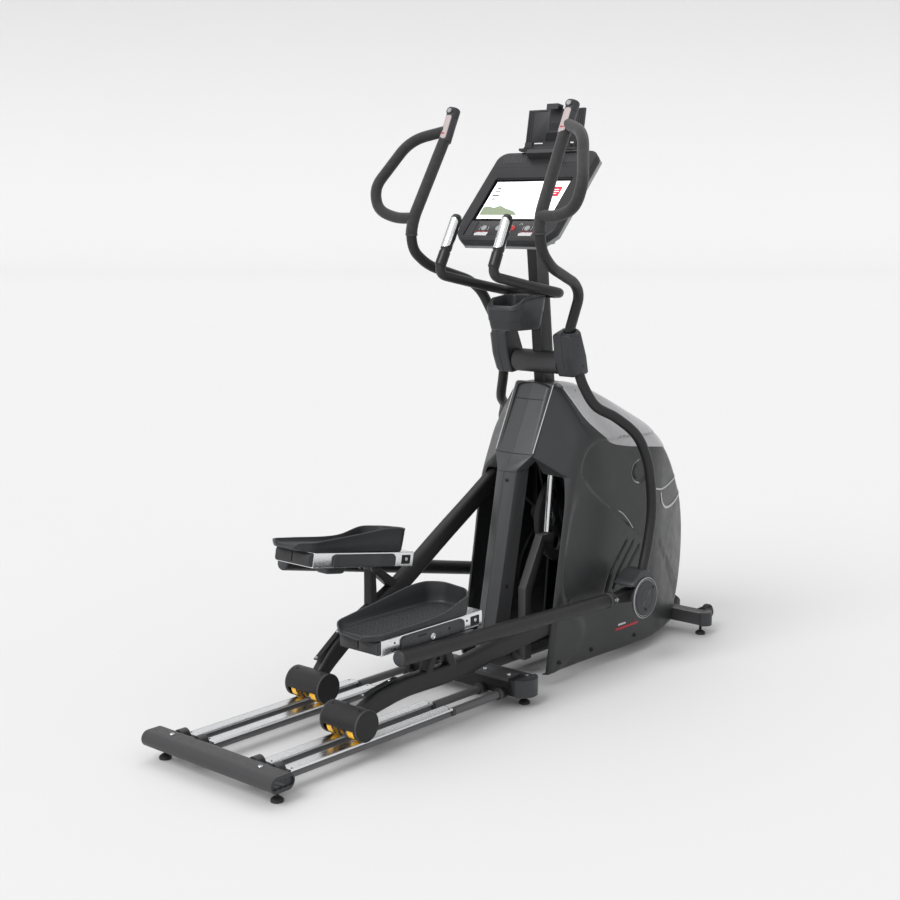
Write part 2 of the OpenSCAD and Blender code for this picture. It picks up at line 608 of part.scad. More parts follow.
arm_path = [[0, 0], [92, 24], [205, 30], [430, 2], [640, 4], [870, -2], [arm_len, 0]];
module stride_arm(s) place_arm(s) difference() {
    union() {
        slab(arm_lane[0], arm_lane[1]) polygon(strip([for (i = [1:6]) arm_path[i]], arm_half));
        // the nose of the arm narrows to the axle eye
        slab(arm_lane[0], arm_lane[1]) polygon([[-7, 22], [-7, -20], [92 + 7, 24 - 28], [92 - 8, 24 + 28]]);
        shaft([0, 0], arm_lane[0], arm_lane[1], 23);
        shaft([arm_len, 0], arm_lane[0], arm_lane[1], 36);
        // upright that carries the pedal pivot
        slab(arm_lane[0], arm_lane[1]) polygon([pivot_in_arm + [-92, -130], pivot_in_arm + [64, -130],
            pivot_in_arm + [13, 0], pivot_in_arm + [-13, 0]]);
        shaft(pivot_in_arm, arm_lane[0], arm_lane[1], 15);
    }
    shaft([0, 0], arm_lane[0] - 1, arm_lane[1] + 1, axle_r + RUN);
    shaft([arm_len, 0], arm_lane[0] - 1, arm_lane[1] + 1, 10 + RUN);
    shaft(pivot_in_arm, arm_lane[0] - 1, arm_lane[1] + 1, 8 + RUN);
    slab(arm_lane[0] + 3, arm_lane[1] - 3) polygon(strip([for (i = [2:5]) arm_path[i]], arm_half - 3));
    // window between the two legs of the upright
    slab(arm_lane[0] - 1, arm_lane[1] + 1) polygon([pivot_in_arm + [-52, -104], pivot_in_arm + [26, -104],
        pivot_in_arm + [-8, -34]]);
}

// ---- pedals --------------------------------------------------------------
channel_x = [-314, 110];
channel_z = [5, 49];
pedal_end = 27;
// Pedal link: outer tube, bracket under the channel, pivot ears and pin, front eye
module pedal_link(s) {
    place_link(s) difference() {
        union() {
            rod([-266, link_y, -19], [link_len - 110, link_y, -3], link_r);
            rod([link_len - 112, link_y, -3], [link_len - 100, link_y, -3], link_r + 3);
            box([link_len - 100, link_y - 17, -16], [link_len, link_y + 17, 12]);
            shaft([link_len, 0], link_y - 17, link_y + 20, 26);
        }
        shaft([link_len, 0], link_y - 20, link_y + 25, 12);
        rod([-262, link_y, -18.9], [link_len - 120, link_y, -3.1], link_r - tube_wall);
    }
    place_pedal(s) {
        box([-205, 176, -6], [60, link_y - 4, channel_z[0]]);
        box([-205, 94, -6], [-150, 177, channel_z[0]]);
        for (y = [[arm_lane[0] - 14, arm_lane[0] - 3], [arm_lane[1] + 3, arm_lane[1] + 14]]) {
            shaft([0, 0], y[0], y[1], 19);
            box([-19, y[0], -1], [19, y[1], channel_z[0]]);
        }
        shaft([0, 0], arm_lane[0] - 10, arm_lane[1] + 10, 8);
        // moulded side cover with its slot
        difference() {
            box([-228, channel_lane[1], channel_z[0] - 8], [28, channel_lane[1] + 7, channel_z[1] - 4]);
            box([-190, channel_lane[1] + 2, channel_z[0] + 18], [-120, channel_lane[1] + 9, channel_z[0] + 27]);
        }
    }
}
module pedal_channel(s) place_pedal(s) difference() {
    box([channel_x[0], channel_lane[0], channel_z[0]], [channel_x[1], channel_lane[1], channel_z[1]]);
    box([channel_x[0] + 10, channel_lane[0] + 3, channel_z[0] + 3], [channel_x[1] - 4, channel_lane[1] - 3, channel_z[1] - 3]);
    box([channel_x[1] - 10, lane_y - 40, channel_z[0] + 12], [channel_x[1] + 1, lane_y + 40, channel_z[1] - 10]);
    // room for the pivot boss and its ears
    box([-30, arm_lane[0] - 15, channel_z[0] - 1], [48, arm_lane[1] + 15, channel_z[0] + 20]);
    box([channel_x[0] + 30, lane_y - 4, channel_z[1] - 5], [channel_x[1] - 30, lane_y + 4, channel_z[1] + 1]);
}
plate_x = [-347, 84];
plate_z = channel_z[1] + GAP;
function plate_pts(d) = [[plate_x[0] + 36 + d/2, plate_lane[0] + d], [plate_x[1] - 30 - d/2, plate_lane[0] + d],
    [plate_x[1] - d, plate_lane[0] + 34 + d/2], [plate_x[1] - d, plate_lane[1] - 44 - d/2],
    [plate_x[1] - 40 - d/2, plate_lane[1] - d], [plate_x[0] + 30 + d/2, plate_lane[1] - d],
    [plate_x[0] + d, plate_lane[1] - 30 - d/2], [plate_x[0] + d, plate_lane[0] + 36 + d/2]];
tread_n = 12;
module foot_plate(s) place_pedal(s) {
    difference() {
        intersection() {
            translate([0, 0, plate_z]) linear_extrude(90) polygon(plate_pts(0));
            union() {
                slab(0, 130) polygon([[plate_x[0] - 1, plate_z], [plate_x[1] + 1, plate_z],
                    [plate_x[1] + 1, 118], [plate_x[1] - 90, 122], [-160, 100], [plate_x[0] - 1, 74]]);
                slab(129, 300) polygon([[plate_x[0] - 1, plate_z], [plate_x[1] + 1, plate_z],
                    [plate_x[1] + 1, 112], [plate_x[1] - 60, 100], [-60, 76], [plate_x[0] - 1, 68]]);
            }
        }
        translate([0, 0, plate_z + 8]) linear_extrude(90) polygon(plate_pts(6));
    }
    for (i = [0:tread_n - 1]) translate([plate_x[0] + 52 + 28*i, 0, plate_z + 7])
        box([0, plate_lane[0] + 24, 0], [16, plate_lane[1] - 24, 3]);
    // guide rib that rides in the channel's top slot
    box([-200, lane_y - 3.5, plate_z - 3], [20, lane_y + 3.5, plate_z + 1]);
}

// ---- swing arms ----------------------------------------------------------
low_path = [[hub[0] + 3, 148, 962], [at(1346), 160, 920], [at(1372), 190, 855], [at(1433), 225, 815],
    [at(1480), 270, 760], [at(1520), 285, 682], [at(1537), swing_y, 605], [at(1546), swing_y, 503],
    [at(1527), swing_y, 406], [at(1500), swing_y, 319], [right_joint[0], swing_y, right_joint[1]]];
high_path = [[hub[0] - 8, 124, 1008], [at(1305), 130, 1070], [at(1281), 190, 1200], [at(1239), 204, 1238],
    [at(1080), 236, 1290], [at(1024), 245, 1335], [at(1011), 245, 1385], [at(1020), 240, 1437],
    [at(1165), 222, 1700], [at(1182), 222, 1735]];
loop_path = [high_path[8], [at(1104), 325, 1672], [at(1012), 394, 1530], [at(1004), 376, 1462],
    [at(1016), 310, 1436], high_path[7]];
grip_path = [for (i = [6:8]) high_path[i]];
module barrel() shaft(hub, 97, 155, 24);
module swing_arm(s) place_swing(s) difference() {
    union() {
        bent_tube(low_path, swing_r);
        bent_tube(high_path, swing_r);
        bent_tube(loop_path, swing_r - 2);
        barrel();
        shaft(right_joint, swing_y - 17, swing_y + 17, 27);
        shaft(right_joint, link_y + 25, swing_y, 11);
    }
    bent_tube([for (i = [1:len(low_path) - 2]) low_path[i]], swing_r - tube_wall);
    bent_tube([for (i = [1:len(high_path) - 1]) high_path[i]], swing_r - tube_wall);
    bent_tube(loop_path, swing_r - 2 - tube_wall);
    shaft(hub, 90, 170, swing_axle_r + RUN);
}
module hand_grip(s) place_swing(s) difference() {
    union() {
        bent_tube(grip_path, foam_r);
        bent_tube(loop_path, foam_r - 1);
    }
    bent_tube(high_path, swing_r + RUN);
    bent_tube(loop_path, swing_r - 2 + RUN);
    for (i = [0, 5]) translate(loop_path[i]) sphere(r = swing_r + 0.35);
}
cover_tilt = -18;
module hub_cover() difference() {
    translate([hub[0] - 9, 0, hub[1] + 30]) rotate([0, cover_tilt, 0]) intersection() {
        slab(92, 162) polygon([[-38, -62], [34, -78], [40, -20], [32, 74], [-30, 74], [-42, 0]]);
        translate([-100, 0, 0]) rotate([90, 0, 90]) linear_extrude(200)
            polygon([[92, -80], [150, -80], [162, -30], [158, 40], [146, 76], [92, 76]]);
    }
    shaft(hub, 90, 156, 24 + GAP);
    shaft(hub, 150, 170, 20);
    bent_tube(low_path, swing_r + 0.6);
    bent_tube(high_path, swing_r + 0.6);
}
cap_dir = (high_path[9] - high_path[8])/norm(high_path[9] - high_path[8]);
module along(p, d) translate(p) rotate([0, acos(d[2]), atan2(d[1], d[0])]) children();
module arm_covers(s) place_swing(s) {
    hub_cover();
    // disc over the lower joint, with a wedge boot above it
    shaft(right_joint, swing_y + 17, swing_y + 22, 66);
    shaft(right_joint, swing_y + 21, swing_y + 27, 58);
    // end cap with the key's pocket
    along(high_path[9], cap_dir) difference() {
        cylinder(r = foam_r + 2, h = 34);
        box([-30, -8.4, 8], [-13, 8.4, 29]);
    }
}
module grip_rocker(s) place_swing(s) along(high_path[9], cap_dir)
    box([-23, -8, 8.5], [-15, 8, 28.5]);

// ---- fasteners -----------------------------------------------------------
module bolt_y(c, y) {
    shaft(c, y, y + 3, 7);
    shaft(c, y + 2, y + 6, 4.5);
}
module fasteners() color("#b4b6b8") {
    for (s = [RIGHT, LEFT]) {
        translate([stab_x, s*175, stab_z + stab_r]) cylinder(r = 7, h = 4);
        for (g = [-1, 1]) translate([mid_x[0] + 16, s*lane_y + g*46, mid_z[1] + 10]) cylinder(r = 6, h = 4);
        translate([mid_x[1] - 22, s*foot_half, mid_z[1]]) cylinder(r = 5, h = 3);
    }
    both_sides() for (x = [1210, 1390, 1620]) bolt_y([at(x), 66], shroud_half);
}

rear_stabilizer();
rail_tubes();
rail_tracks();
mid_stabilizer();
front_stabilizer();
stabilizer_caps();
levelling_feet();
main_frame();
mast();
swing_axle();
crank_bearings();
brake_unit();
drive_belt();
incline_motor();
incline_tube();
incline_lever();
right_shroud();
left_shroud();
spine_cover();
shroud_trim();
pulse_handlebar();
pulse_sensors();
cup_holder();
console_shell();
console_back();
screen();
tablet_holder();
fasteners();
drive_pulley();
crank_axle();
crank_arms();
flywheel();
transport_wheels();
roller_axle(RIGHT);  // right_roller_axle
roller_axle(LEFT);  // left_roller_axle
color("#e2b23c") rollers(RIGHT);  // right_rollers
color("#e2b23c") rollers(LEFT);  // left_rollers
color("#1f2022") roller_housing(RIGHT);  // right_roller_housing
color("#1f2022") roller_housing(LEFT);  // left_roller_housing
color("#2a2b2e") stride_arm(RIGHT);  // right_stride_arm
color("#2a2b2e") stride_arm(LEFT);  // left_stride_arm
color("#2a2b2e") pedal_link(RIGHT);  // right_pedal_link
color("#2a2b2e") pedal_link(LEFT);  // left_pedal_link
color("#c4c5c6") pedal_channel(RIGHT);  // right_pedal_channel
color("#c4c5c6") pedal_channel(LEFT);  // left_pedal_channel
color("#1e1f21") foot_plate(RIGHT);  // right_foot_plate
color("#1e1f21") foot_plate(LEFT);  // left_foot_plate
color("#242528") swing_arm(RIGHT);  // right_swing_arm
color("#242528") swing_arm(LEFT);  // left_swing_arm
color("#17181a") hand_grip(RIGHT);  // right_hand_grip
color("#17181a") hand_grip(LEFT);  // left_hand_grip
color("#3a3b3e") arm_covers(RIGHT);  // right_arm_covers
color("#3a3b3e") arm_covers(LEFT);  // left_arm_covers
color("#c9bfc1") grip_rocker(RIGHT);  // right_grip_rocker
color("#c9bfc1") grip_rocker(LEFT);  // left_grip_rocker
tablet_clamp();
start_key();
stop_key();
incline_rocker();
resistance_rocker();
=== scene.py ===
"""Looks of the elliptical trainer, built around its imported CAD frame."""

import json
import math

import bmesh
import bpy
import numpy as np
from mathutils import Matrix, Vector


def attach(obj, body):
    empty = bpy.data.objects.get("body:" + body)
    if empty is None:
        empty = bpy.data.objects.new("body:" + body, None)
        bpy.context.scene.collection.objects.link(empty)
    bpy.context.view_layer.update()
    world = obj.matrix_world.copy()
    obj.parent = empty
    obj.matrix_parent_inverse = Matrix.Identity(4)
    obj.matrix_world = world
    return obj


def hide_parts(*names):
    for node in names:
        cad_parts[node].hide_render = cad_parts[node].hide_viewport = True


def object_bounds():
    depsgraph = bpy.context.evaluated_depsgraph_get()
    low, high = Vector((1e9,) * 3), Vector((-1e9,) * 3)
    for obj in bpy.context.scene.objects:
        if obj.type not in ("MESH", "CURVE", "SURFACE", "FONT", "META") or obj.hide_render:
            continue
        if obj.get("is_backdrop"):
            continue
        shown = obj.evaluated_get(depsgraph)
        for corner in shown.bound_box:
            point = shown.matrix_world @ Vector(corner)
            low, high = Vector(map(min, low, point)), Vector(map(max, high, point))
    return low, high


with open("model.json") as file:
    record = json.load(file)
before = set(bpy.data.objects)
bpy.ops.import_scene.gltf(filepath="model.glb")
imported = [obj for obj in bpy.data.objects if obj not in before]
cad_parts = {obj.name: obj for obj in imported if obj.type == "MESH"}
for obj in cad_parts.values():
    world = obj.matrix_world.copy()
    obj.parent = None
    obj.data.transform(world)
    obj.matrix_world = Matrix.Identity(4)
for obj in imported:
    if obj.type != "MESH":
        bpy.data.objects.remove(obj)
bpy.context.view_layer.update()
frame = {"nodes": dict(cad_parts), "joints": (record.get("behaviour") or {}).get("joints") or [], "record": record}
BODY_OF = {n: b for b, ns in frame["record"]["behaviour"]["bodies"].items() for n in ns}
SIDES = {"right": -1, "left": 1}
MM = 0.001


# ---- materials -------------------------------------------------------------
class Finish:
    """A material whose colour, roughness and relief all come from nodes."""

    def __init__(self, name, rough=0.45, metal=0.0, stretch=(1, 1, 1)):
        self.mat = bpy.data.materials.new(name)
        self.mat.use_nodes = True
        self.tree = self.mat.node_tree
        self.shader = self.tree.nodes["Principled BSDF"]
        self.rough = rough
        self.set("Metallic", metal)
        self.place = self.add("ShaderNodeTexCoord").outputs["Object"]
        mapping = self.add("ShaderNodeMapping")
        mapping.inputs["Scale"].default_value = stretch
        self.join(self.place, mapping.inputs["Vector"])
        self.stretched = mapping.outputs["Vector"]

    def add(self, kind, **props):
        made = self.tree.nodes.new(kind)
        for key, value in props.items():
            setattr(made, key, value)
        return made

    def join(self, a, b):
        self.tree.links.new(a, b)

    def set(self, socket, value):
        self.shader.inputs[socket].default_value = value
        return self

    def noise(self, scale, detail=2.0, stretched=False):
        made = self.add("ShaderNodeTexNoise")
        made.inputs["Scale"].default_value = scale
        made.inputs["Detail"].default_value = detail
        self.join(self.stretched if stretched else self.place, made.inputs["Vector"])
        return made.outputs["Fac"]

    def spread(self, source, low, high, start=0.3, stop=0.7):
        made = self.add("ShaderNodeMapRange")
        for key, value in zip(("From Min", "From Max", "To Min", "To Max"), (start, stop, low, high)):
            made.inputs[key].default_value = value
        self.join(source, made.inputs["Value"])
        return made.outputs["Result"]

    def blend(self, factor, dark, light):
        made = self.add("ShaderNodeMix", data_type="RGBA")
        self.join(factor, made.inputs["Factor"])
        for socket, value in ((made.inputs[6], dark), (made.inputs[7], light)):
            if isinstance(value, tuple):
                socket.default_value = (*value, 1)
            else:
                self.join(value, socket)
        return made.outputs[2]

    def paint(self, colour, vary=0.15, patch=7.0, edge_wear_and_highlight=0.0, worn_and_highlight_colour=(0.3, 0.3, 0.31)):
        """Base colour with soft patches, and lighter edges: partly rubbed wear, partly a painted highlight."""
        dark = tuple(c * (1 - vary) for c in colour)
        light = tuple(c * (1 + vary) for c in colour)
        shade = self.blend(self.noise(patch, 4.0), dark, light)
        if edge_wear_and_highlight:
            # Convex edges (high Pointiness) are mixed towards a lighter colour: partly rubbed wear, partly a
            # painted highlight where edges catch the light.
            edge = self.spread(self.add("ShaderNodeNewGeometry").outputs["Pointiness"], 0, edge_wear_and_highlight, 0.52, 0.62)
            shade = self.blend(edge, shade, worn_and_highlight_colour)
        self.join(shade, self.shader.inputs["Base Color"])
        return self

    def polish(self, patch=45.0, spread=0.06, stretched=False):
        """Roughness that drifts a little from place to place."""
        source = self.noise(patch, 3.0, stretched)
        self.join(self.spread(source, self.rough - spread, self.rough + spread),
                  self.shader.inputs["Roughness"])
        return self

    def grain(self, scale, height, detail=2.0, stretched=False, kind="noise"):
        """Fine relief of a given height in metres."""
        bump = self.add("ShaderNodeBump")
        bump.inputs["Distance"].default_value = height
        if kind == "pores":
            cells = self.add("ShaderNodeTexVoronoi")
            cells.inputs["Scale"].default_value = scale
            self.join(self.place, cells.inputs["Vector"])
            source = cells.outputs["Distance"]
        else:
            source = self.noise(scale, detail, stretched)
        self.join(source, bump.inputs["Height"])
        self.join(bump.outputs["Normal"], self.shader.inputs["Normal"])
        return self


def powder_coat(name, colour, rough=0.42):
    """Black paint with a fine texture."""
    made = Finish(name, rough).paint(colour, 0.12, 6, edge_wear_and_highlight=0.35).set("Specular IOR Level", 0.3)
    return made.polish(60, 0.05).grain(900, 0.00008).mat


def moulding(name, colour, rough=0.42, height=0.00006, vary=0.12, edge_wear_and_highlight=0.3):
    """Moulded plastic with a fine surface grain."""
    made = Finish(name, rough).paint(colour, vary, 4, edge_wear_and_highlight=edge_wear_and_highlight,
                                     worn_and_highlight_colour=(0.16, 0.16, 0.17)).set("Specular IOR Level", 0.35)
    return made.polish(30, 0.05).grain(1400, height, 3).mat


def metal(name, colour, rough=0.28, stretch=(1, 60, 60), height=0.00003):
    """Brushed metal; stretch sets which way the brushing runs."""
    made = Finish(name, rough, 1.0, stretch).paint(colour, 0.08, 5)
    return made.polish(30, 0.07, True).grain(25, height, 4, True).mat


def foam(name, colour):
    """Closed foam with open pores at its surface."""
    made = Finish(name, 0.78).paint(colour, 0.2, 14)
    return made.set("Sheen Weight", 0.25).polish(80, 0.08).grain(1500, 0.00025, kind="pores").mat


def glow(name, colour, strength):
    """A lit area of the display."""
    made = Finish(name, 0.25).paint(colour, 0.03, 8).polish(20, 0.03)
    made.set("Emission Color", (*colour, 1)).set("Emission Strength", strength)
    return made.mat


# For moulding, the fifth value sets how much lighter the edges get, partly wear and partly a painted highlight;
# powder coat always gets them.
FINISHES = {
    "coat": (powder_coat, (0.016, 0.016, 0.017)),
    "coat_dark": (powder_coat, (0.009, 0.009, 0.010), 0.36),
    "shroud": (moulding, (0.026, 0.027, 0.028), 0.36),
    "spine": (moulding, (0.042, 0.043, 0.045), 0.38),
    "trim": (moulding, (0.42, 0.42, 0.43), 0.30, 0.00003, 0.06, 0.1),
    "shell": (moulding, (0.017, 0.017, 0.019), 0.45),
    "bezel": (moulding, (0.012, 0.012, 0.013), 0.34, 0.00003),
    "pale_shell": (moulding, (0.33, 0.34, 0.35), 0.38, 0.00004, 0.06, 0.1),
    "tread": (moulding, (0.014, 0.014, 0.015), 0.55, 0.00012),
    "cover": (moulding, (0.026, 0.027, 0.030), 0.42),
    "groove": (moulding, (0.004, 0.004, 0.004), 0.7),
    "rubber": (moulding, (0.010, 0.010, 0.011), 0.7, 0.00015),
    "aluminium": (metal, (0.78, 0.79, 0.80), 0.24),
    "steel": (metal, (0.50, 0.51, 0.53), 0.28, (40, 1, 40)),
    "bolt": (metal, (0.62, 0.63, 0.65), 0.25, (30, 30, 30)),
    "dark_bolt": (metal, (0.05, 0.05, 0.055), 0.35, (30, 30, 30)),
    "chrome": (metal, (0.86, 0.87, 0.88), 0.10, (1, 1, 1), 0.00001),
    "iron": (metal, (0.16, 0.16, 0.17), 0.42, (20, 1, 20)),
    "foam": (foam, (0.014, 0.014, 0.015)),
    "belt": (moulding, (0.008, 0.008, 0.008), 0.65, 0.0001),
    "glass": (moulding, (0.004, 0.004, 0.005), 0.08, 0.00001, 0.02, 0),
    "label": (moulding, (0.42, 0.36, 0.36), 0.5, 0.00002, 0.05, 0),
    "mark": (moulding, (0.55, 0.55, 0.56), 0.5, 0.00002, 0.04, 0),
    "red": (moulding, (0.42, 0.02, 0.03), 0.45, 0.00002, 0.06, 0),
    "key": (moulding, (0.30, 0.30, 0.31), 0.4, 0.00004, 0.06, 0.1),
    "stop": (moulding, (0.40, 0.03, 0.03), 0.4, 0.00004, 0.06, 0.1),
}
MATS = {name: make(name, *values) for name, (make, *values) in FINISHES.items()}
urethane = Finish("urethane", 0.3).paint((0.96, 0.50, 0.012), 0.08, 20).polish(50, 0.06).grain(700, 0.00008)
MATS["urethane"] = urethane.set("Coat Weight", 0.35).set("Subsurface Weight", 0.05).mat
for tile, (colour, strength) in {
    "screen_white": ((0.93, 0.94, 0.95), 1.0), "screen_card": ((0.80, 0.81, 0.83), 0.85),
    "screen_red": ((0.55, 0.02, 0.04), 0.55), "screen_green": ((0.20, 0.24, 0.16), 0.5),
    "screen_sky": ((0.62, 0.70, 0.74), 0.8), "screen_ink": ((0.03, 0.03, 0.03), 0.1),
}.items():
    MATS[tile] = glow(tile, colour, strength)


# ---- making pieces ----------------------------------------------------------
def outfit(piece, mat, node, replaces=False, body=None):
    """Gives a piece its material and body, and lets it stand for its CAD node."""
    piece.data.materials.clear()
    piece.data.materials.append(MATS[mat])
    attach(piece, body or BODY_OF[node])
    if replaces:
        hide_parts(node)
    return piece


def smooth(mesh, angle=35):
    """Smooth shading with edges sharper than the angle kept."""
    mesh.polygons.foreach_set("use_smooth", [True] * len(mesh.polygons))
    mesh.set_sharp_from_angle(angle=math.radians(angle))


def build(name, verts, faces, mat, node, replaces=False, angle=35, body=None, mirror=False):
    """A new piece from vertices in metres and faces."""
    mesh = bpy.data.meshes.new(name)
    flip = -1 if mirror else 1
    mesh.from_pydata([(v[0], flip * v[1], v[2]) for v in verts], [], [tuple(f) for f in faces])
    work = bmesh.new()
    work.from_mesh(mesh)
    bmesh.ops.remove_doubles(work, verts=work.verts, dist=1e-6)
    bmesh.ops.recalc_face_normals(work, faces=work.faces)
    work.to_mesh(mesh)
    work.free()
    smooth(mesh, angle)
    piece = bpy.data.objects.new(name, mesh)
    bpy.context.scene.collection.objects.link(piece)
    return outfit(piece, mat, node, replaces, body)


def bevel(piece, width, segments=2, angle=32):
    """Rounds the edges of a piece."""
    made = piece.modifiers.new("rounding", "BEVEL")
    made.width = width
    made.segments = segments
    made.limit_method = "ANGLE"
    made.angle_limit = math.radians(angle)
    made.harden_normals = False
    made.miter_outer = "MITER_ARC"
    return piece


def soften(node, mat, width=1.2 * MM, segments=2, angle=32):
    """The CAD node's own shape with rounded edges."""
    source = frame["nodes"][node]
    work = bmesh.new()
    work.from_mesh(source.data)
    bmesh.ops.remove_doubles(work, verts=work.verts, dist=2e-6)
    bmesh.ops.dissolve_limit(work, angle_limit=math.radians(0.6), verts=work.verts, edges=work.edges)
    mesh = bpy.data.meshes.new(node + "_soft")
    work.to_mesh(mesh)
    work.free()
    smooth(mesh, 30)
    piece = bpy.data.objects.new(node + "_soft", mesh)
    bpy.context.scene.collection.objects.link(piece)
    outfit(piece, mat, node, replaces=True)
    return bevel(piece, width, segments, angle)


def dress(node, mat):
    """A CAD node that keeps its own mesh and gets a finished material."""
    for place in frame["nodes"][node].material_slots:
        place.material = MATS[mat]


# ---- curves and surfaces ------------------------------------------------------
REAR_FEET = -1.040


def at(d):
    """X of a place given as millimetres ahead of the rear feet."""
    return REAR_FEET + d * MM


def spline(points, step=0.006):
    """A smooth curve that passes through every point."""
    p = np.array(points, float)
    p = np.vstack([2 * p[0] - p[1], p, 2 * p[-1] - p[-2]])
    made = []
    for a, b, c, d in zip(p, p[1:], p[2:], p[3:]):
        knots = np.concatenate([[0], np.cumsum([max(np.linalg.norm(v), 1e-9) ** 0.5
                                                for v in (b - a, c - b, d - c)])])
        count = max(2, int(np.linalg.norm(c - b) / step))
        t = np.linspace(knots[1], knots[2], count, endpoint=False)[:, None]

        def mix(u, v, i, j):
            return ((knots[j] - t) * u + (t - knots[i]) * v) / (knots[j] - knots[i])

        low, mid, high = mix(a, b, 0, 1), mix(b, c, 1, 2), mix(c, d, 2, 3)
        made.append(mix(mix(low, mid, 0, 2), mix(mid, high, 1, 3), 1, 2))
    return np.vstack(made + [p[-2:-1]])


def fillet(points, radius, closed=False, parts=10):
    """A polyline whose corners are rounded, with its straight runs kept."""
    p = [np.array(v, float) for v in points]
    made = [] if closed else [p[0]]
    order = range(len(p)) if closed else range(1, len(p) - 1)
    for i in order:
        a, b, c = p[i - 1], p[i], p[(i + 1) % len(p)]
        u, v = a - b, c - b
        reach = min(radius, 0.48 * np.linalg.norm(u), 0.48 * np.linalg.norm(v))
        start, stop = b + u / np.linalg.norm(u) * reach, b + v / np.linalg.norm(v) * reach
        for t in np.linspace(0, 1, parts + 1):
            made.append((1 - t) ** 2 * start + 2 * t * (1 - t) * b + t * t * stop)
    if not closed:
        made.append(p[-1])
    return np.array(made)


def resample(line, step):
    """The same line with its points at even distances."""
    line = np.array(line, float)
    gaps = np.linalg.norm(np.diff(line, axis=0), axis=1)
    along = np.concatenate([[0], np.cumsum(gaps)])
    count = max(2, int(round(along[-1] / step)) + 1)
    places = np.linspace(0, along[-1], count)
    return np.column_stack([np.interp(places, along, line[:, k]) for k in range(line.shape[1])])


def circle(radius, sides=28, squash=1.0):
    """Points round a circle, or an ellipse when squashed."""
    turn = np.arange(sides) * 2 * math.pi / sides
    return np.column_stack([radius * np.cos(turn), radius * squash * np.sin(turn)])


def rounded_box(width, height, radius, parts=5):
    """A rectangle with round corners, centred on the origin."""
    w, h = width / 2, height / 2
    return fillet([(-w, -h), (w, -h), (w, h), (-w, h)], radius, True, parts)


def directions(path):
    """The unit heading at each point of a path."""
    ahead = np.gradient(path, axis=0)
    return ahead / np.linalg.norm(ahead, axis=1)[:, None]


def sweep(path, sections, across=None):
    """Vertices and faces of sections carried along a path, with closed ends."""
    path = np.array(path, float)
    heads = directions(path)
    side = np.array(across if across is not None else (0, 0, 1), float)
    if across is None and abs(heads[0] @ side) > 0.9:
        side = np.array((1.0, 0, 0))
    verts = []
    for place, head, section in zip(path, heads, sections):
        side = side - head * (side @ head)
        side = side / np.linalg.norm(side)
        up = np.cross(head, side)
        verts.append(place + section[:, :1] * side + section[:, 1:] * up)
        if across is not None:
            side = np.array(across, float)
    n = len(sections[0])
    faces = []
    for i in range(len(path) - 1):
        for k in range(n):
            m = (k + 1) % n
            faces.append((i * n + k, i * n + m, (i + 1) * n + m, (i + 1) * n + k))
    faces.append(tuple(range(n - 1, -1, -1)))
    faces.append(tuple((len(path) - 1) * n + k for k in range(n)))
    return np.vstack(verts), faces


def rounded_ends(path, section, radius):
    """Sections that shrink over the last few millimetres at both ends, and the path for them."""
    path = np.array(path, float)
    gaps = np.concatenate([[0], np.cumsum(np.linalg.norm(np.diff(path, axis=0), axis=1))])
    inner = gaps[(gaps > radius * 1.05) & (gaps < gaps[-1] - radius * 1.05)]
    cap = radius * (1 - np.cos(np.linspace(0, math.pi / 2, 6)))
    places = np.concatenate([cap, inner, (gaps[-1] - cap)[::-1]])
    line = np.column_stack([np.interp(places, gaps, path[:, k]) for k in range(3)])
    size = np.abs(section).max()
    sections = []
    for g in places:
        edge = min(g, gaps[-1] - g)
        depth = min(1.0, edge / radius)
        lost = radius * (1 - math.sqrt(max(0.0, 1 - (1 - depth) ** 2)))
        sections.append(section * (1 - lost / size))
    return line, sections


def lathe(profile, centre, axis, sides=56):
    """A turned shape: the profile gives distance along the axis and radius."""
    axis = np.array(axis, float) / np.linalg.norm(axis)
    first = np.cross(axis, (0.3, 0.2, 0.9))
    first = first / np.linalg.norm(first)
    second = np.cross(axis, first)
    turn = np.arange(sides) * 2 * math.pi / sides
    verts = []
    for along, radius in profile:
        ring = np.outer(np.cos(turn), first) + np.outer(np.sin(turn), second)
        verts.append(np.array(centre, float) + along * axis + radius * ring)
    faces = []
    for i in range(len(profile) - 1):
        for k in range(sides):
            m = (k + 1) % sides
            faces.append((i * sides + k, i * sides + m, (i + 1) * sides + m, (i + 1) * sides + k))
    faces.append(tuple(range(sides - 1, -1, -1)))
    faces.append(tuple((len(profile) - 1) * sides + k for k in range(sides)))
    return np.vstack(verts), faces


def joined(*shapes):
    """Several (verts, faces) pairs as one."""
    verts, faces, start = [], [], 0
    for v, f in shapes:
        verts.append(np.array(v, float))
        faces += [tuple(start + i for i in face) for face in f]
        start += len(v)
    return np.vstack(verts), faces


def grid_faces(rows, columns, closed=False):
    """Four-sided faces between neighbouring rows of points."""
    last = columns if closed else columns - 1
    return [(i * columns + k, i * columns + (k + 1) % columns, (i + 1) * columns + (k + 1) % columns,
             (i + 1) * columns + k) for i in range(rows - 1) for k in range(last)]


def prism(outline, low, high, place):
    """An outline stretched from low to high; place maps (u, v, w) to the row frame."""
    n = len(outline)
    verts = [place(u, v, w) for w in (low, high) for u, v in outline]
    faces = [tuple(range(n - 1, -1, -1)), tuple(range(n, 2 * n))]
    faces += [(k, (k + 1) % n, n + (k + 1) % n, n + k) for k in range(n)]
    return np.array(verts), faces


# ---- where each moving group rests ----------------------------------------------
JOINT_AT = {j["name"]: np.array(j.get("pos_m", (0, 0, 0)), float) for j in frame["joints"]}
HUB = JOINT_AT["right_swing"]
PIVOT_IN_ARM = (0.369, 0.145)
RIGHT_FOOT_JOINT = np.array([at(1490), 0, 0.240])
LEFT_SWING_TURN = math.radians(-1.214)


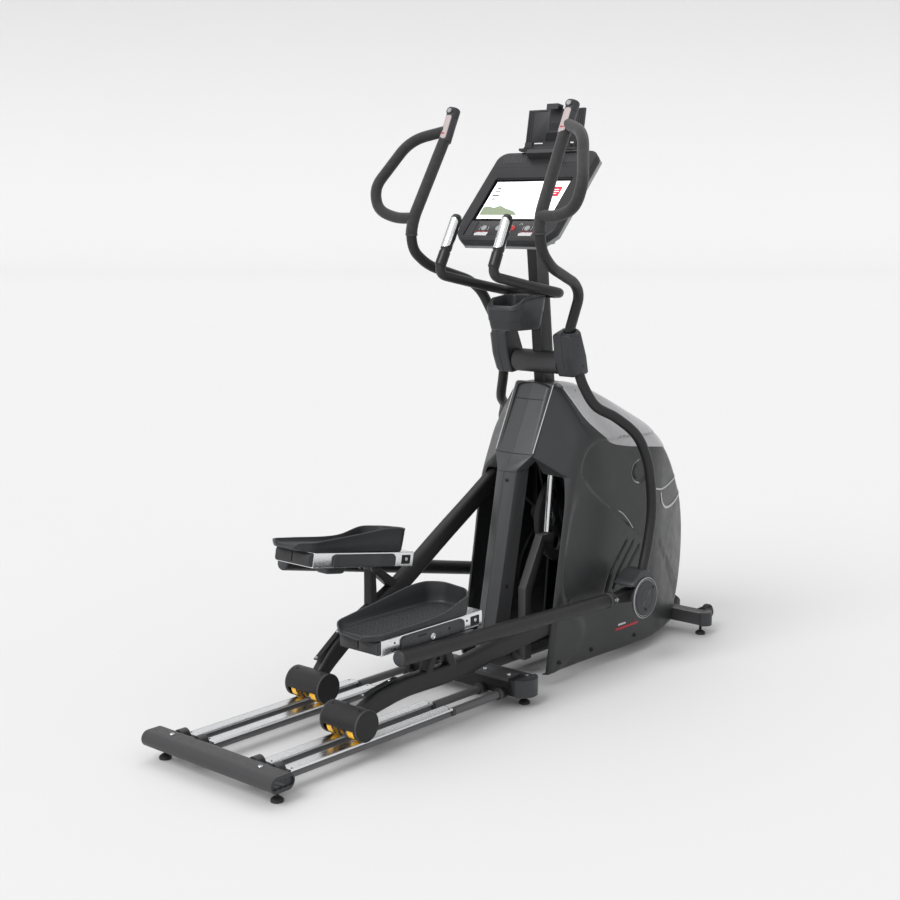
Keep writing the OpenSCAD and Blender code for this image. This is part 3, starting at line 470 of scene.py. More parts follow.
def turned(points, centre, angle):
    """Points turned in the X-Z plane about a centre; a positive angle lifts +X."""
    p = np.array(points, float) - centre
    c, s = math.cos(angle), math.sin(angle)
    return np.column_stack([p[:, 0] * c - p[:, 2] * s, p[:, 1], p[:, 0] * s + p[:, 2] * c]) + centre


def swing_pose(side):
    """Maps the swing arm's drawing, made at +Y where the right one rests, to one side."""
    angle = -LEFT_SWING_TURN if side == "left" else 0.0
    return lambda points: turned(points, HUB, angle)


def local_pose(origin, angle):
    """Maps a drawing made about the origin, in metres, to its place."""
    centre = np.array([origin[0], 0, origin[2]])
    return lambda points: turned(np.array(points, float) + centre, centre, angle)


def slope(a, b):
    """The angle in the X-Z plane of the line from a to b."""
    return math.atan2(b[2] - a[2], b[0] - a[0])


FOOT_JOINT = {s: swing_pose(s)(RIGHT_FOOT_JOINT[None])[0] for s in SIDES}
ARM_SLOPE = {s: slope(JOINT_AT[s + "_tilt"], JOINT_AT[s + "_pedal"]) - math.atan2(PIVOT_IN_ARM[1],
                                                                                  PIVOT_IN_ARM[0])
             for s in SIDES}
LINK_SLOPE = {s: slope(JOINT_AT[s + "_pedal"], FOOT_JOINT[s]) for s in SIDES}
ARM_POSE = {s: local_pose(JOINT_AT[s + "_tilt"], ARM_SLOPE[s]) for s in SIDES}
LINK_POSE = {s: local_pose(JOINT_AT[s + "_pedal"], LINK_SLOPE[s]) for s in SIDES}
PEDAL_POSE = {s: local_pose(JOINT_AT[s + "_pedal"], LINK_SLOPE[s] - LINK_SLOPE["right"]) for s in SIDES}
SWING_POSE = {s: swing_pose(s) for s in SIDES}


def both(label, shape, mat, node, pose=None, replaces=False, angle=35, round_by=0.0):
    """The same piece on both sides: drawn at +Y, mirrored to the right. node has {s} for the side."""
    verts, faces = shape
    for side, sign in SIDES.items():
        placed = pose[side](verts) if pose else verts
        piece = build(f"{side}_{label}", placed, faces, mat, node.format(s=side), replaces, angle,
                      mirror=sign < 0)
        if round_by:
            bevel(piece, round_by)


def riding(pose):
    """A version of both() for the parts of one moving group."""
    return lambda label, shape, mat, part, **look: both(label, shape, mat, "{s}_" + part, pose, **look)


on_swing, on_arm, on_link, on_pedal = map(riding, (SWING_POSE, ARM_POSE, LINK_POSE, PEDAL_POSE))


def plain(verts):
    """Points given in millimetres, in metres."""
    return np.array(verts, float) * MM


# ---- plain CAD shapes, finished ---------------------------------------------
ROUNDED = {
    "rear_stabilizer": ("coat", 1.5), "mid_stabilizer": ("coat", 1.5), "front_stabilizer": ("coat", 1.5),
    "stabilizer_caps": ("cover", 2.0), "rail_tracks": ("aluminium", 0.8), "main_frame": ("coat_dark", 1.0),
    "mast": ("coat", 2.5), "brake_unit": ("iron", 0.6), "incline_motor": ("shell", 2.0),
    "incline_lever": ("coat", 1.5), "spine_cover": ("spine", 2.5), "console_back": ("pale_shell", 4.0),
    "tablet_holder": ("shell", 1.5), "tablet_clamp": ("shell", 1.2), "crank_arms": ("coat_dark", 1.2),
}
AS_BUILT = {
    "rail_tubes": "coat_dark", "swing_axle": "steel", "crank_axle": "steel",
    "crank_bearings": "steel", "drive_belt": "belt", "incline_tube": "aluminium",
    "drive_pulley": "shell", "flywheel": "iron", "right_roller_axle": "steel",
    "left_roller_axle": "steel",
}
for node, (mat, width) in ROUNDED.items():
    soften(node, mat, width * MM)
for node, mat in AS_BUILT.items():
    dress(node, mat)


# ---- shroud ---------------------------------------------------------------------
HALF = 0.186
NOSE_CENTRE, NOSE_R = (0.761, 0.300), 0.330
GRID_CENTRE = np.array([0.60, 0.50])
NOSE = [(NOSE_CENTRE[0] + NOSE_R * math.cos(math.radians(a)),
         NOSE_CENTRE[1] + NOSE_R * math.sin(math.radians(a)))
        for a in range(-48, 49, 4)]
BOTTOM_EDGE = [(at(1158), 0.034), (at(2096), 0.034), (at(2112), 0.060)]
TOP_EDGE = [(at(1940), 0.634), (at(1845), 0.712), (at(1700), 0.800), (at(1520), 0.886), (at(1405), 0.918),
            (at(1300), 0.922)]
CREST = np.vstack([NOSE, spline([NOSE[-1]] + TOP_EDGE, 0.01)[1:]])
SHOULDER_EDGE = [(at(1300), 0.922), (at(1205), 0.706)]
ROOF_EDGE = [(at(1205), 0.706), (at(1262), 0.640)]
SLOT_EDGE = [(at(1262), 0.640), (at(1158), 0.034)]
PLAN = spline([(at(1100), HALF), (at(1680), HALF), (at(1780), 0.170), (at(1850), 0.150), (at(1940), 0.122),
               (at(2040), 0.084), (1.069, 0.052), (1.085, 0.030), (1.091, 0.004)], 0.01)
FRONT = spline([(0.0, HALF), (0.70, HALF), (0.75, 0.183), (0.83, 0.142), (0.925, 0.076), (0.96, 0.05)],
               0.01)
SHOULDER_AT, SHOULDER_N = (at(1310), 0.074, 0.920), (-0.726, 0.604, 0.330)
# creases in the flank, drawn in X and Z
PANEL_CREST = spline([(0.46, 0.742), (0.357, 0.745), (0.307, 0.722), (0.279, 0.684), (0.273, 0.650),
                      (0.288, 0.618),
                      (0.345, 0.572), (0.43, 0.515)], 0.01)
LIP_CREST = spline([(0.262, 0.655), (0.236, 0.592), (0.201, 0.493), (0.176, 0.386), (0.168, 0.312),
                    (0.184, 0.251),
                    (0.235, 0.195), (0.285, 0.150), (0.272, 0.108), (0.200, 0.072), (0.150, 0.045)], 0.01)
VENTS = [spline(v, 0.006) for v in ([(0.418, 0.245), (0.440, 0.300), (0.480, 0.352), (0.520, 0.392)],
                                    [(0.458, 0.250), (0.482, 0.300), (0.520, 0.345), (0.558, 0.384)],
                                    [(0.500, 0.256), (0.526, 0.298), (0.560, 0.334), (0.594, 0.366)])]
SCOOP_AT, SCOOP_SIZE = (0.605, 0.612), (0.050, 0.042)


def nearest(points, line):
    """Distance to a polyline, and whether the point lies to the left of it."""
    line = np.array(line, float)
    a, ab = line[:-1], np.diff(line, axis=0)
    gap = points[:, None] - a
    t = np.clip((gap * ab).sum(2) / (ab * ab).sum(1), 0, 1)
    off = gap - t[..., None] * ab
    far = np.linalg.norm(off, axis=2)
    k = far.argmin(1)
    rows = np.arange(len(points))
    turn = ab[k, 0] * gap[rows, k, 1] - ab[k, 1] * gap[rows, k, 0]
    return far[rows, k], turn > 0


def ease(x, start, stop):
    """0 before start and 1 after stop, with a smooth step between."""
    t = np.clip((x - start) / (stop - start), 0, 1)
    return t * t * (3 - 2 * t)


def soft_min(a, b, blend):
    """The smaller of two values, rounded where they meet."""
    h = np.clip(0.5 + 0.5 * (b - a) / blend, 0, 1)
    return b + (a - b) * h - blend * h * (1 - h)


def quarter(gap, radius):
    """0 at an edge and 1 once radius inside it, along a quarter circle."""
    return np.sqrt(np.clip(1 - (1 - np.clip(gap / radius, 0, 1)) ** 2, 0, 1))


def flank(points):
    """How far the shroud's skin stands from the centre plane, before its edges are rounded."""
    x, z = points.T
    y = soft_min(np.interp(x, *PLAN.T), np.interp(z, *FRONT.T), 0.012)
    n = SHOULDER_N
    lean = SHOULDER_AT[1] - (n[0] * (x - SHOULDER_AT[0]) + n[2] * (z - SHOULDER_AT[2])) / n[1]
    y = soft_min(y, lean, 0.022)
    gap, inside = nearest(points, PANEL_CREST)
    y = y - 0.010 * inside * ease(gap, 0, 0.012) * (1 - ease(gap, 0.08, 0.34))
    gap, inside = nearest(points, LIP_CREST)
    y = y - 0.008 * inside * ease(gap, 0, 0.035) * (1 - ease(gap, 0.07, 0.30)) * (1 - ease(z, 0.52, 0.62))
    for vent in VENTS:
        gap, _ = nearest(points, vent)
        y = y - 0.006 * (1 - ease(gap, 0.0035, 0.0075))
    across = np.hypot((x - SCOOP_AT[0]) / SCOOP_SIZE[0], (z - SCOOP_AT[1]) / SCOOP_SIZE[1])
    return y - 0.007 * (1 - ease(across, 0.78, 1.0))


def skin(points):
    """The finished half width at any X and Z: the flank with its edges rounded over."""
    points = np.array(points, float)
    y = flank(points)
    radius = 0.016 + 0.055 * ease(points[:, 0], at(1380), at(1680))
    y = y * quarter(nearest(points, CREST)[0] + 1e-5, radius)
    for edge, turn_in in ((SLOT_EDGE, 0.015), (BOTTOM_EDGE, 0.012), (ROOF_EDGE, 0.006),
                          (SHOULDER_EDGE, 0.004)):
        y = y - turn_in * (1 - quarter(nearest(points, edge)[0], turn_in))
    return np.maximum(y, 0.0003)


def on_skin(points, lift=0.0):
    """X, Y and Z of places on the skin, moved off it by lift."""
    points = np.array(points, float)
    y = skin(points)
    step = 0.002
    dx = (skin(points + (step, 0)) - skin(points - (step, 0))) / (2 * step)
    dz = (skin(points + (0, step)) - skin(points - (0, step))) / (2 * step)
    normal = np.column_stack([-np.clip(dx, -3, 3), np.ones(len(points)), -np.clip(dz, -3, 3)])
    normal = normal / np.linalg.norm(normal, axis=1)[:, None]
    return np.column_stack([points[:, 0], y, points[:, 1]]) + lift * normal


def shroud_shell():
    """The outer skin as rings about a centre, a lip at its edges and an inner skin."""
    edges = [resample(BOTTOM_EDGE + NOSE[:1], 0.008)[:-1], resample(CREST, 0.005)[:-1],
             resample(SHOULDER_EDGE, 0.005)[:-1], resample(ROOF_EDGE, 0.004)[:-1],
             resample(SLOT_EDGE, 0.005)[:-1]]
    rim = np.vstack(edges)
    roof_start = sum(len(e) for e in edges[:3])
    roof = np.zeros(len(rim), bool)
    roof[roof_start:roof_start + len(edges[3])] = True
    reach = np.linalg.norm(rim - GRID_CENTRE, axis=1)
    ray = (rim - GRID_CENTRE) / reach[:, None]
    near = np.array([0, 0.4, 1.2, 2.5, 4.5, 7, 10, 14, 19, 25, 32, 40, 50]) * MM
    rings = []
    for gap in near:
        rings.append(rim - ray * gap)
    inner_rows = 74
    for i in range(inner_rows):
        rings.append(GRID_CENTRE + ray * ((reach - 0.060) * (1 - i / inner_rows) ** 0.92)[:, None])
    outer = [np.column_stack([r[:, 0], skin(r), r[:, 1]]) for r in rings]
    thick = 3.2 * MM
    lip = outer[0].copy()
    lip[roof, 1] = np.minimum(lip[roof, 1], 0.075)
    back = [lip]
    for gap in (3.2, 22, 70, 150):
        r = rim - ray * gap * MM
        y = np.maximum(skin(rim - ray * max(gap, 6) * MM) - thick, 0.0003)
        if gap < 10:
            y = np.maximum(lip[:, 1], 0.0003)
        back.append(np.column_stack([r[:, 0], y, r[:, 1]]))
    rows = back[::-1] + outer
    verts = np.vstack(rows + [np.array([[GRID_CENTRE[0], skin(GRID_CENTRE[None])[0], GRID_CENTRE[1]]])])
    faces = grid_faces(len(rows), len(rim), closed=True)
    last = (len(rows) - 1) * len(rim)
    faces += [(last + k, last + (k + 1) % len(rim), len(verts) - 1) for k in range(len(rim))]
    return verts, faces


def inlay(line, width, lift, step=0.006, thick=0.0006):
    """A thin strip that follows the skin along a line drawn in X and Z."""
    line = resample(line, step)
    head = directions(line)
    across = np.column_stack([-head[:, 1], head[:, 0]])
    places = (-1, -0.97, 0, 0.97, 1)
    heights = (lift - thick, lift, lift, lift, lift - thick)
    rows = [on_skin(line + across * width / 2 * p, h) for p, h in zip(places, heights)]
    count = len(line)
    verts = np.stack(rows, axis=1).reshape(-1, 3)
    faces = grid_faces(count, len(places))
    return verts, faces


def sweep_panel(low_line, high_line, lift, rows=44, columns=150, thick=0.0022):
    """A panel that covers the skin between two lines drawn in X and Z, with its rim turned down."""
    low_line, high_line = (resample(v, 0.004) for v in (low_line, high_line))
    t = np.linspace(0, 1, columns)
    low_line, high_line = (np.column_stack([np.interp(t, np.linspace(0, 1, len(v)), v[:, k])
                                            for k in (0, 1)])
                           for v in (low_line, high_line))
    sheets = []
    share = np.sin(np.linspace(0, math.pi / 2, rows)) ** 1.3
    for s in share:
        edge = min(1.0, s / 0.02, (1 - s) / 0.02 + 0.5)
        flat = low_line * (1 - s) + high_line * s
        ends = np.clip(np.minimum(t, 1 - t) / 0.012, 0, 1)
        sheets.append((flat, (lift - thick) + thick * edge * ends))
    verts = np.vstack([on_skin(flat, h[:, None]) for flat, h in sheets])
    return verts, grid_faces(rows, columns)


both("shroud_shell", shroud_shell(), "shroud", "{s}_shroud", replaces=True, angle=50)
TRIM_LOW = spline([(0.296, 0.904), (0.306, 0.872), (0.334, 0.806), (0.430, 0.730), (0.520, 0.706),
                   (0.620, 0.692),
                   (0.740, 0.676), (0.810, 0.664)], 0.01)
TRIM_HIGH = spline([(0.318, 0.9195), (0.365, 0.9165), (0.480, 0.8845), (0.580, 0.840), (0.660, 0.799),
                    (0.740, 0.754),
                    (0.805, 0.711), (0.850, 0.674)], 0.01)
both("trim_panel", sweep_panel(TRIM_LOW, TRIM_HIGH, 2.4 * MM), "trim", "shroud_trim", replaces=True,
     angle=50)


# ---- small builders ---------------------------------------------------------------
X_AXIS, Y_AXIS, Z_AXIS = np.eye(3)
LANE = 0.150


def rows_mm(*rows):
    """Rows of millimetre pairs, in metres."""
    return [(a * MM, b * MM) for a, b in rows]


def place_in(origin, u, v, w):
    """A function that takes distances along three axes to the row frame."""
    origin, u, v, w = (np.array(a, float) for a in (origin, u, v, w))
    return lambda a, b, c: origin + a * u + b * v + c * w


def layered(outline, rows, place):
    """An outline built up in rows of (level, inset), both in the outline's own unit."""
    outline = np.array(outline, float)
    middle = (outline.min(0) + outline.max(0)) / 2
    reach = np.abs(outline - middle).max(0)
    verts = [place(*(middle + (p - middle) * (1 - inset / reach)), level) for level, inset in rows
             for p in outline]
    n = len(outline)
    faces = grid_faces(len(rows), n, closed=True)
    return np.array(verts), faces + [tuple(range(n))[::-1], tuple(range(len(verts) - n, len(verts)))]


def tube(points, radius, end=0.0, bend=None, sides=28, step=0.006):
    """A round tube, curved through its points or bent between straight runs."""
    line = resample(fillet(points, bend), step) if bend else spline(points, step)
    if end:
        line, sections = rounded_ends(line, circle(radius, sides), end)
    else:
        sections = [circle(radius, sides)] * len(line)
    return sweep(line, sections)


def screw(centre, axis, radius, height):
    """A socket screw head."""
    rows = [(-height, 1), (0.6 * height, 1), (height, 0.82), (height, 0.48), (0.35 * height, 0.42)]
    return lathe([(a, radius * r) for a, r in rows], centre, axis, 20)


def unit(v):
    """The same direction with length 1."""
    return np.array(v, float) / np.linalg.norm(v)


# ---- swing arms ---------------------------------------------------------------------
TUBE_R, GRIP_R, SLEEVE_R = 0.016, 0.018, 0.0194
LOW_PATH = plain([(298, 148, 962), (306, 160, 920), (332, 190, 855), (393, 225, 815), (440, 270, 760),
                  (480, 285, 682), (497, 290, 605), (506, 290, 503), (487, 290, 406), (460, 290, 319),
                  (450, 290, 240)])
HIGH_PATH = plain([(287, 124, 1008), (265, 130, 1070), (241, 190, 1200), (199, 204, 1238), (40, 236, 1290),
                   (-16, 245, 1335), (-29, 245, 1385), (-20, 240, 1437), (125, 222, 1700),
                   (142, 222, 1735)])
LOOP_PATH = np.vstack([HIGH_PATH[8], plain([(64, 325, 1672), (-28, 394, 1530), (-36, 376, 1462),
                                            (-24, 310, 1436)]),
                       HIGH_PATH[7]])
CAP_DIR = unit(HIGH_PATH[9] - HIGH_PATH[8])
CAP_UP = unit(np.cross(CAP_DIR, Y_AXIS))
JOINT = RIGHT_FOOT_JOINT + (0, 0.290, 0)
high_line = resample(fillet(HIGH_PATH, 0.045), 0.005)
loop_line = resample(fillet(LOOP_PATH, 0.052), 0.005)
grip_from = np.linalg.norm(high_line - HIGH_PATH[6], axis=1).argmin()
grip_to = np.linalg.norm(high_line - HIGH_PATH[8], axis=1).argmin()


def hollow_cap(radius):
    """The capped end of the handle: a sleeve, a step, and a domed top."""
    rows = [(-78, 0.93), (-77.4, 0.985), (-75, 1), (-3, 1), (-2.4, 0.975), (-1, 0.975), (-0.4, 1.01),
            (26, 1.02)]
    dome = [(26 + 7.8 * math.sin(a), 0.62 + 0.40 * math.cos(a)) for a in np.linspace(0.2, math.pi / 2, 6)]
    return lathe([(a * MM, radius * r) for a, r in rows + dome], HIGH_PATH[9], CAP_DIR, 40)


swing_tubes = joined(
    tube(LOW_PATH, TUBE_R),
    sweep(high_line, [circle(TUBE_R)] * len(high_line)),
    sweep(loop_line, [circle(TUBE_R - 0.002)] * len(loop_line)),
    lathe([(0.097, 0.022), (0.098, 0.024), (0.154, 0.024), (0.155, 0.022)], (HUB[0], 0, HUB[2]), Y_AXIS),
    lathe([(-17 * MM, 0.025), (-15 * MM, 0.027), (15 * MM, 0.027), (17 * MM, 0.025)], JOINT, Y_AXIS),
    lathe([(-20 * MM, 0.011), (0, 0.011)], JOINT, Y_AXIS, 24))
on_swing("swing_tubes", swing_tubes, "coat", "swing_arm", replaces=True, angle=50)
sleeve, sleeve_rows = rounded_ends(high_line[grip_from:grip_to + 1], circle(GRIP_R, 32), 0.005)
loop_sleeve, loop_rows = rounded_ends(loop_line, circle(GRIP_R - 0.001, 32), 0.004)
on_swing("foam_sleeves", joined(sweep(sleeve, sleeve_rows), sweep(loop_sleeve, loop_rows)), "foam",
         "hand_grip", replaces=True, angle=60)
stop_ring = lathe([(-3 * MM, 0.0165), (-2.4 * MM, 0.0188), (2.4 * MM, 0.0188), (3 * MM, 0.0165)],
                  high_line[grip_from],
                  high_line[grip_from + 1] - high_line[grip_from - 1], 36)
on_swing("grip_ring", stop_ring, "rubber", "swing_arm")

# hub cover, lower joint cover and handle cap
COVER = place_in((HUB[0] - 0.009, 0, HUB[2] + 0.030),
                 (math.cos(math.radians(18)), 0, math.sin(math.radians(18))),
                 (-math.sin(math.radians(18)), 0, math.cos(math.radians(18))), Y_AXIS)
cover_outline = fillet(plain([(-38, -62), (34, -78), (40, -20), (32, 74), (-30, 74), (-42, 0)]), 0.007,
                       True, 5)
cover_rows = [(92, 3), (95, 0), (124, 0), (124.5, 1.3), (126.5, 1.3), (127, 0), (146, 0), (150, 1.2),
              (159, 7),
              (162, 13)]
hub_cover = layered(cover_outline, rows_mm(*cover_rows), COVER)
exit_at = high_line[np.abs(high_line[:, 2] - (HUB[2] + 0.104)).argmin()]
collar = lathe([(-9 * MM, 0.027), (-1 * MM, 0.027), (1.5 * MM, 0.025), (2 * MM, 0.0215), (-5 * MM, 0.0185)],
               exit_at, HIGH_PATH[1] - HIGH_PATH[0], 40)
on_swing("hub_cover", joined(hub_cover, collar), "cover", "arm_covers", replaces=True, angle=28,
         round_by=0.0012)
on_swing("hub_screw", joined(screw(COVER(0, 0.030, 0.1615), Y_AXIS, 0.0048, 0.0012),
                             screw(COVER(0.006, -0.040, 0.1615), Y_AXIS, 0.0048, 0.0012)), "dark_bolt",
         "arm_covers")

DISC = [(12, 57), (14, 64.5), (16, 66), (20, 66), (21.5, 65), (22, 63.4), (22, 59.5), (21.2, 58.4),
        (21.2, 57.6),
        (23.5, 56.8), (25.4, 54.5), (26, 51), (26, 33.6), (25.3, 33), (25.3, 32), (26, 31.4), (26.4, 0.1)]
disc = lathe(rows_mm(*DISC), JOINT, Y_AXIS, 96)
on_swing("joint_disc", disc, "cover", "arm_covers", angle=40)
disc_edge = lathe([(21.4 * MM, 0.0655), (22.5 * MM, 0.0648), (22.7 * MM, 0.0635), (21.6 * MM, 0.0632)],
                  JOINT, Y_AXIS, 96)
on_swing("disc_edge", disc_edge, "trim", "arm_covers", angle=60)
on_swing("disc_screws", joined(screw(JOINT + (0.036, 0.026, 0.030), Y_AXIS, 0.0055, 0.0012),
                               screw(JOINT + (-0.004, 0.0264, -0.036), Y_AXIS, 0.0055, 0.0012)), "groove",
         "arm_covers")
hood = fillet(plain([(-68, 47), (-60, 60), (-36, 72), (-14, 90), (28, 90), (52, 56), (66, 14), (44, 2),
                     (32, 26),
                     (0, 35), (-34, 40)]), 0.012, True, 5)
hood_rows = [(232, 7), (234, 3), (238, 0.8), (244, 0), (300, 0), (304, 1), (307, 4)]
on_swing("joint_hood", layered(hood, rows_mm(*hood_rows),
                               place_in(RIGHT_FOOT_JOINT, X_AXIS, Z_AXIS, Y_AXIS)), "cover", "arm_covers",
         angle=40)

on_swing("handle_cap", hollow_cap(SLEEVE_R), "cover", "arm_covers", angle=40)
KEY_OUT = CAP_UP if CAP_UP[0] < 0 else -CAP_UP
CAP = place_in(HIGH_PATH[9], Y_AXIS, CAP_DIR, KEY_OUT)


def wrapped(width, length, start, lift, radius, corner, rows=18, columns=24):
    """A label that follows the round sleeve, with round corners."""
    verts = []
    for i in range(rows + 1):
        s = -length / 2 + length * i / rows
        into = max(0.0, corner - (length / 2 - abs(s)))
        half = width / 2 - corner + math.sqrt(max(0.0, corner * corner - into * into))
        for k in range(columns + 1):
            u = half * (2 * k / columns - 1)
            rim = 0 if i in (0, rows) or k in (0, columns) else lift
            a = u / radius
            verts.append(CAP((radius + rim) * math.sin(a), start + s, (radius + rim) * math.cos(a)))
    return np.array(verts), grid_faces(rows + 1, columns + 1)


on_swing("handle_label", wrapped(0.026, 0.078, -0.035, 0.0007, SLEEVE_R + 0.0001, 0.005), "label",
         "arm_covers", angle=60)
on_swing("handle_mark", wrapped(0.014, 0.005, -0.058, 0.0010, SLEEVE_R + 0.0001, 0.0015), "red",
         "arm_covers", angle=60)
BUTTON_Z = 0.0185
button_ring = lathe(rows_mm((12, 12.5), (19.2, 12.5), (20.6, 12.1), (21.4, 11.2), (21, 9.9),
                                                  (18, 9.6)), HIGH_PATH[9] + BUTTON_Z * CAP_DIR, KEY_OUT,
                    44)
on_swing("button_ring", button_ring, "bezel", "arm_covers", angle=45)
rocker_outline = rounded_box(0.0155, 0.0155, 0.0075, 7)
rocker_rows = [(15, 0), (21.2, 0), (22.2, 0.5), (22.8, 1.6), (22.5, 3), (21.6, 5), (21.2, 7)]
on_swing("rocker_cap", layered(rocker_outline, rows_mm(*rocker_rows),
                               place_in(HIGH_PATH[9] + BUTTON_Z * CAP_DIR, Y_AXIS, CAP_DIR, KEY_OUT)),
         "key", "grip_rocker", replaces=True, angle=50)


# ---- fixed handlebar ----------------------------------------------------------------
BAR_R = 0.015
BAR_PATH = plain([(289, 72, 1200), (256, 104, 1204), (110, 104, 1230), (-74, 104, 1266), (12, 98, 1440)])
PULSE_FROM, PULSE_TO = BAR_PATH[3], BAR_PATH[4]
pulse = PULSE_TO - PULSE_FROM
whole_bar = np.vstack([BAR_PATH[::-1] * (1, -1, 1), BAR_PATH])
bar_line, bar_rows = rounded_ends(resample(fillet(whole_bar, 0.042), 0.005), circle(BAR_R, 30), 0.010)
body_path = [PULSE_FROM + pulse * t for t in (0.40, 0.60, 0.80, 0.955)]
sleeve_path = [PULSE_FROM + pulse * t for t in (0.13, 0.20, 0.30, 0.385)]


def bar_body(path, radius, side):
    """A moulded sleeve on one arm of the handlebar."""
    line, rows = rounded_ends(resample(np.array(path) * (1, side, 1), 0.004), circle(radius, 32), 0.004)
    return sweep(line, rows)


bodies = [bar_body(p, 0.0172, side) for p in (body_path, sleeve_path) for side in SIDES.values()]
build("handlebar_tube", *sweep(bar_line, bar_rows), "coat", "pulse_handlebar", replaces=True, angle=60)
build("pulse_bodies", *joined(*bodies), "bezel", "pulse_handlebar", angle=60)


def pulse_plate(side, facing):
    """One steel contact plate, wrapped round the bar with round ends."""
    rows, columns, spread_angle = 30, 18, math.radians(74)
    top, low = PULSE_FROM + pulse * 0.93, PULSE_FROM + pulse * 0.42
    axis = unit(top - low)
    front = unit(np.cross(axis, Y_AXIS)) * facing
    length = np.linalg.norm(top - low)
    round_end = 0.016
    verts = []
    for i in range(rows + 1):
        s = length * i / rows
        edge = min(1.0, s / round_end, (length - s) / round_end)
        half = spread_angle * max(0.30, math.sqrt(1 - (1 - edge) ** 2))
        for k in range(columns + 1):
            rim = i in (0, rows) or k in (0, columns)
            radius = 0.0170 if rim else 0.0177
            a = half * (2 * k / columns - 1)
            p = low + axis * s + radius * (front * math.cos(a) + Y_AXIS * math.sin(a))
            verts.append(p * (1, side, 1))
    return np.array(verts), grid_faces(rows + 1, columns + 1)


build("pulse_plates", *joined(*[pulse_plate(side, facing) for side in SIDES.values()
                                for facing in (1, -1)]), "chrome",
      "pulse_sensors", replaces=True, angle=50)


# ---- console --------------------------------------------------------------------------
FACE_TILT = math.radians(47.2)
FACE = place_in((at(1240.5), 0, 1.485), (math.cos(FACE_TILT), 0, math.sin(FACE_TILT)), Y_AXIS,
                (-math.sin(FACE_TILT), 0, math.cos(FACE_TILT)))
PLATE_LEAN = math.radians(10)
PLATE_FACE = place_in((at(1383), 0, 1.628), Y_AXIS, (math.sin(PLATE_LEAN), 0, math.cos(PLATE_LEAN)),
                      (-math.cos(PLATE_LEAN), 0, math.sin(PLATE_LEAN)))


def moved(outline, u, v):
    """An outline shifted by millimetres."""
    return np.array(outline) + np.array((u, v)) * MM


def pad(width, height, radius, u, v, low, high, soft=0.3):
    """A small rounded plate on the console face, in millimetres; width runs up the face."""
    outline = moved(rounded_box(width * MM, height * MM, radius * MM), u, v)
    return layered(outline, rows_mm((low, 0), (high - soft, 0), (high, soft)), FACE)


def ribbon(points, width):
    """Outline of a strip of even width along a line."""
    line = np.array(points, float)
    head = directions(line)
    across = np.column_stack([-head[:, 1], head[:, 0]]) * width / 2
    return np.vstack([line + across, (line - across)[::-1]]) * MM


def arc(u, v, radius, start, stop, parts=14):
    """Points along an arc, in millimetres and degrees."""
    return [(u + radius * math.cos(math.radians(a)), v + radius * math.sin(math.radians(a)))
            for a in np.linspace(start, stop, parts)]


def ring_at(outline, angles, centre):
    """Where rays from a centre meet a closed outline."""
    shifted = np.array(outline) - centre
    turn = np.unwrap(np.arctan2(shifted[:, 1], shifted[:, 0]))
    if turn[-1] < turn[0]:
        shifted, turn = shifted[::-1], turn[::-1]
    ends = np.vstack([shifted, shifted[:1]])
    turn = np.append(turn, turn[0] + 2 * math.pi)
    made = []
    for a in angles:
        t = turn[0] + (a - turn[0]) % (2 * math.pi)
        k = min(np.searchsorted(turn, t, side="right") - 1, len(shifted) - 1)
        p, q = ends[k], ends[k + 1]
        d = np.array((math.cos(a), math.sin(a)))
        edge = q - p
        denom = d[0] * edge[1] - d[1] * edge[0]
        s = (p[0] * edge[1] - p[1] * edge[0]) / denom if abs(denom) > 1e-12 else np.linalg.norm(p)
        made.append(centre + d * s)
    return np.array(made)


def bordered(outline, hole, outer_rows, inner_rows, place):
    """A frame: an outer rim in rows of (level, inset), then a hole's rim in rows of (level, grow)."""
    centre = (np.array(hole).min(0) + np.array(hole).max(0)) / 2
    corners = [math.atan2(p[1] - centre[1], p[0] - centre[0]) for p in np.vstack([outline, hole])]
    angles = np.sort(np.mod(np.concatenate([corners, np.linspace(0, 2 * math.pi, 120, endpoint=False)]),
                            2 * math.pi))
    angles = angles[np.concatenate([[True], np.diff(angles) > 1e-3])]
    verts = []
    for base, sign, rows in ((ring_at(outline, angles, centre), -1, outer_rows),
                             (ring_at(hole, angles, centre), 1, inner_rows)):
        reach = np.abs(base - centre).max(0)
        for level, inset in rows:
            verts += [place(*(centre + (p - centre) * (1 + sign * inset / reach)), level) for p in base]
    return np.array(verts), grid_faces(len(outer_rows) + len(inner_rows), len(angles), closed=True)


face_low, face_high, half_face = -172, 198, 194
FACE_CORNERS = [(face_low, -152), (face_low + 46, -half_face), (face_high - 20, -half_face),
                (face_high, -half_face + 22), (face_high, half_face - 22), (face_high - 20, half_face),
                (face_low + 46, half_face), (face_low, 152)]
face_outline = fillet(plain(FACE_CORNERS), 0.016, True, 6)
face_hole = moved(rounded_box(0.240, 0.302, 0.008, 6), -32, 0)
shell_frame = bordered(face_outline, face_hole,
                       rows_mm((-20, 9), (-20, 2), (-18.5, 0.4), (-16, 0), (-8.6, 0), (-8, 0.9), (-7, 0.9),
                               (-6.4, 0), (1, 0),
                               (3.2, 0.8), (5, 2.4), (6, 5)),
                       rows_mm((6, 3), (5.6, 1.2), (4.6, 0.2), (3.6, 0), (-3, 0)), FACE)
build("console_frame", *shell_frame, "shell", "console_shell", replaces=True, angle=32)
deck = joined(layered(moved(rounded_box(0.064, 0.301, 0.004, 4), -119.5, 0),
                      rows_mm((-5.5, 0), (1.4, 0), (1.8, 0.5)), FACE),
              layered(moved(rounded_box(0.0035, 0.300, 0.001, 4), 86.3, 0),
                      rows_mm((-5.5, 0), (1.4, 0), (1.8, 0.3)), FACE))
build("key_deck", *deck, "bezel", "console_shell")
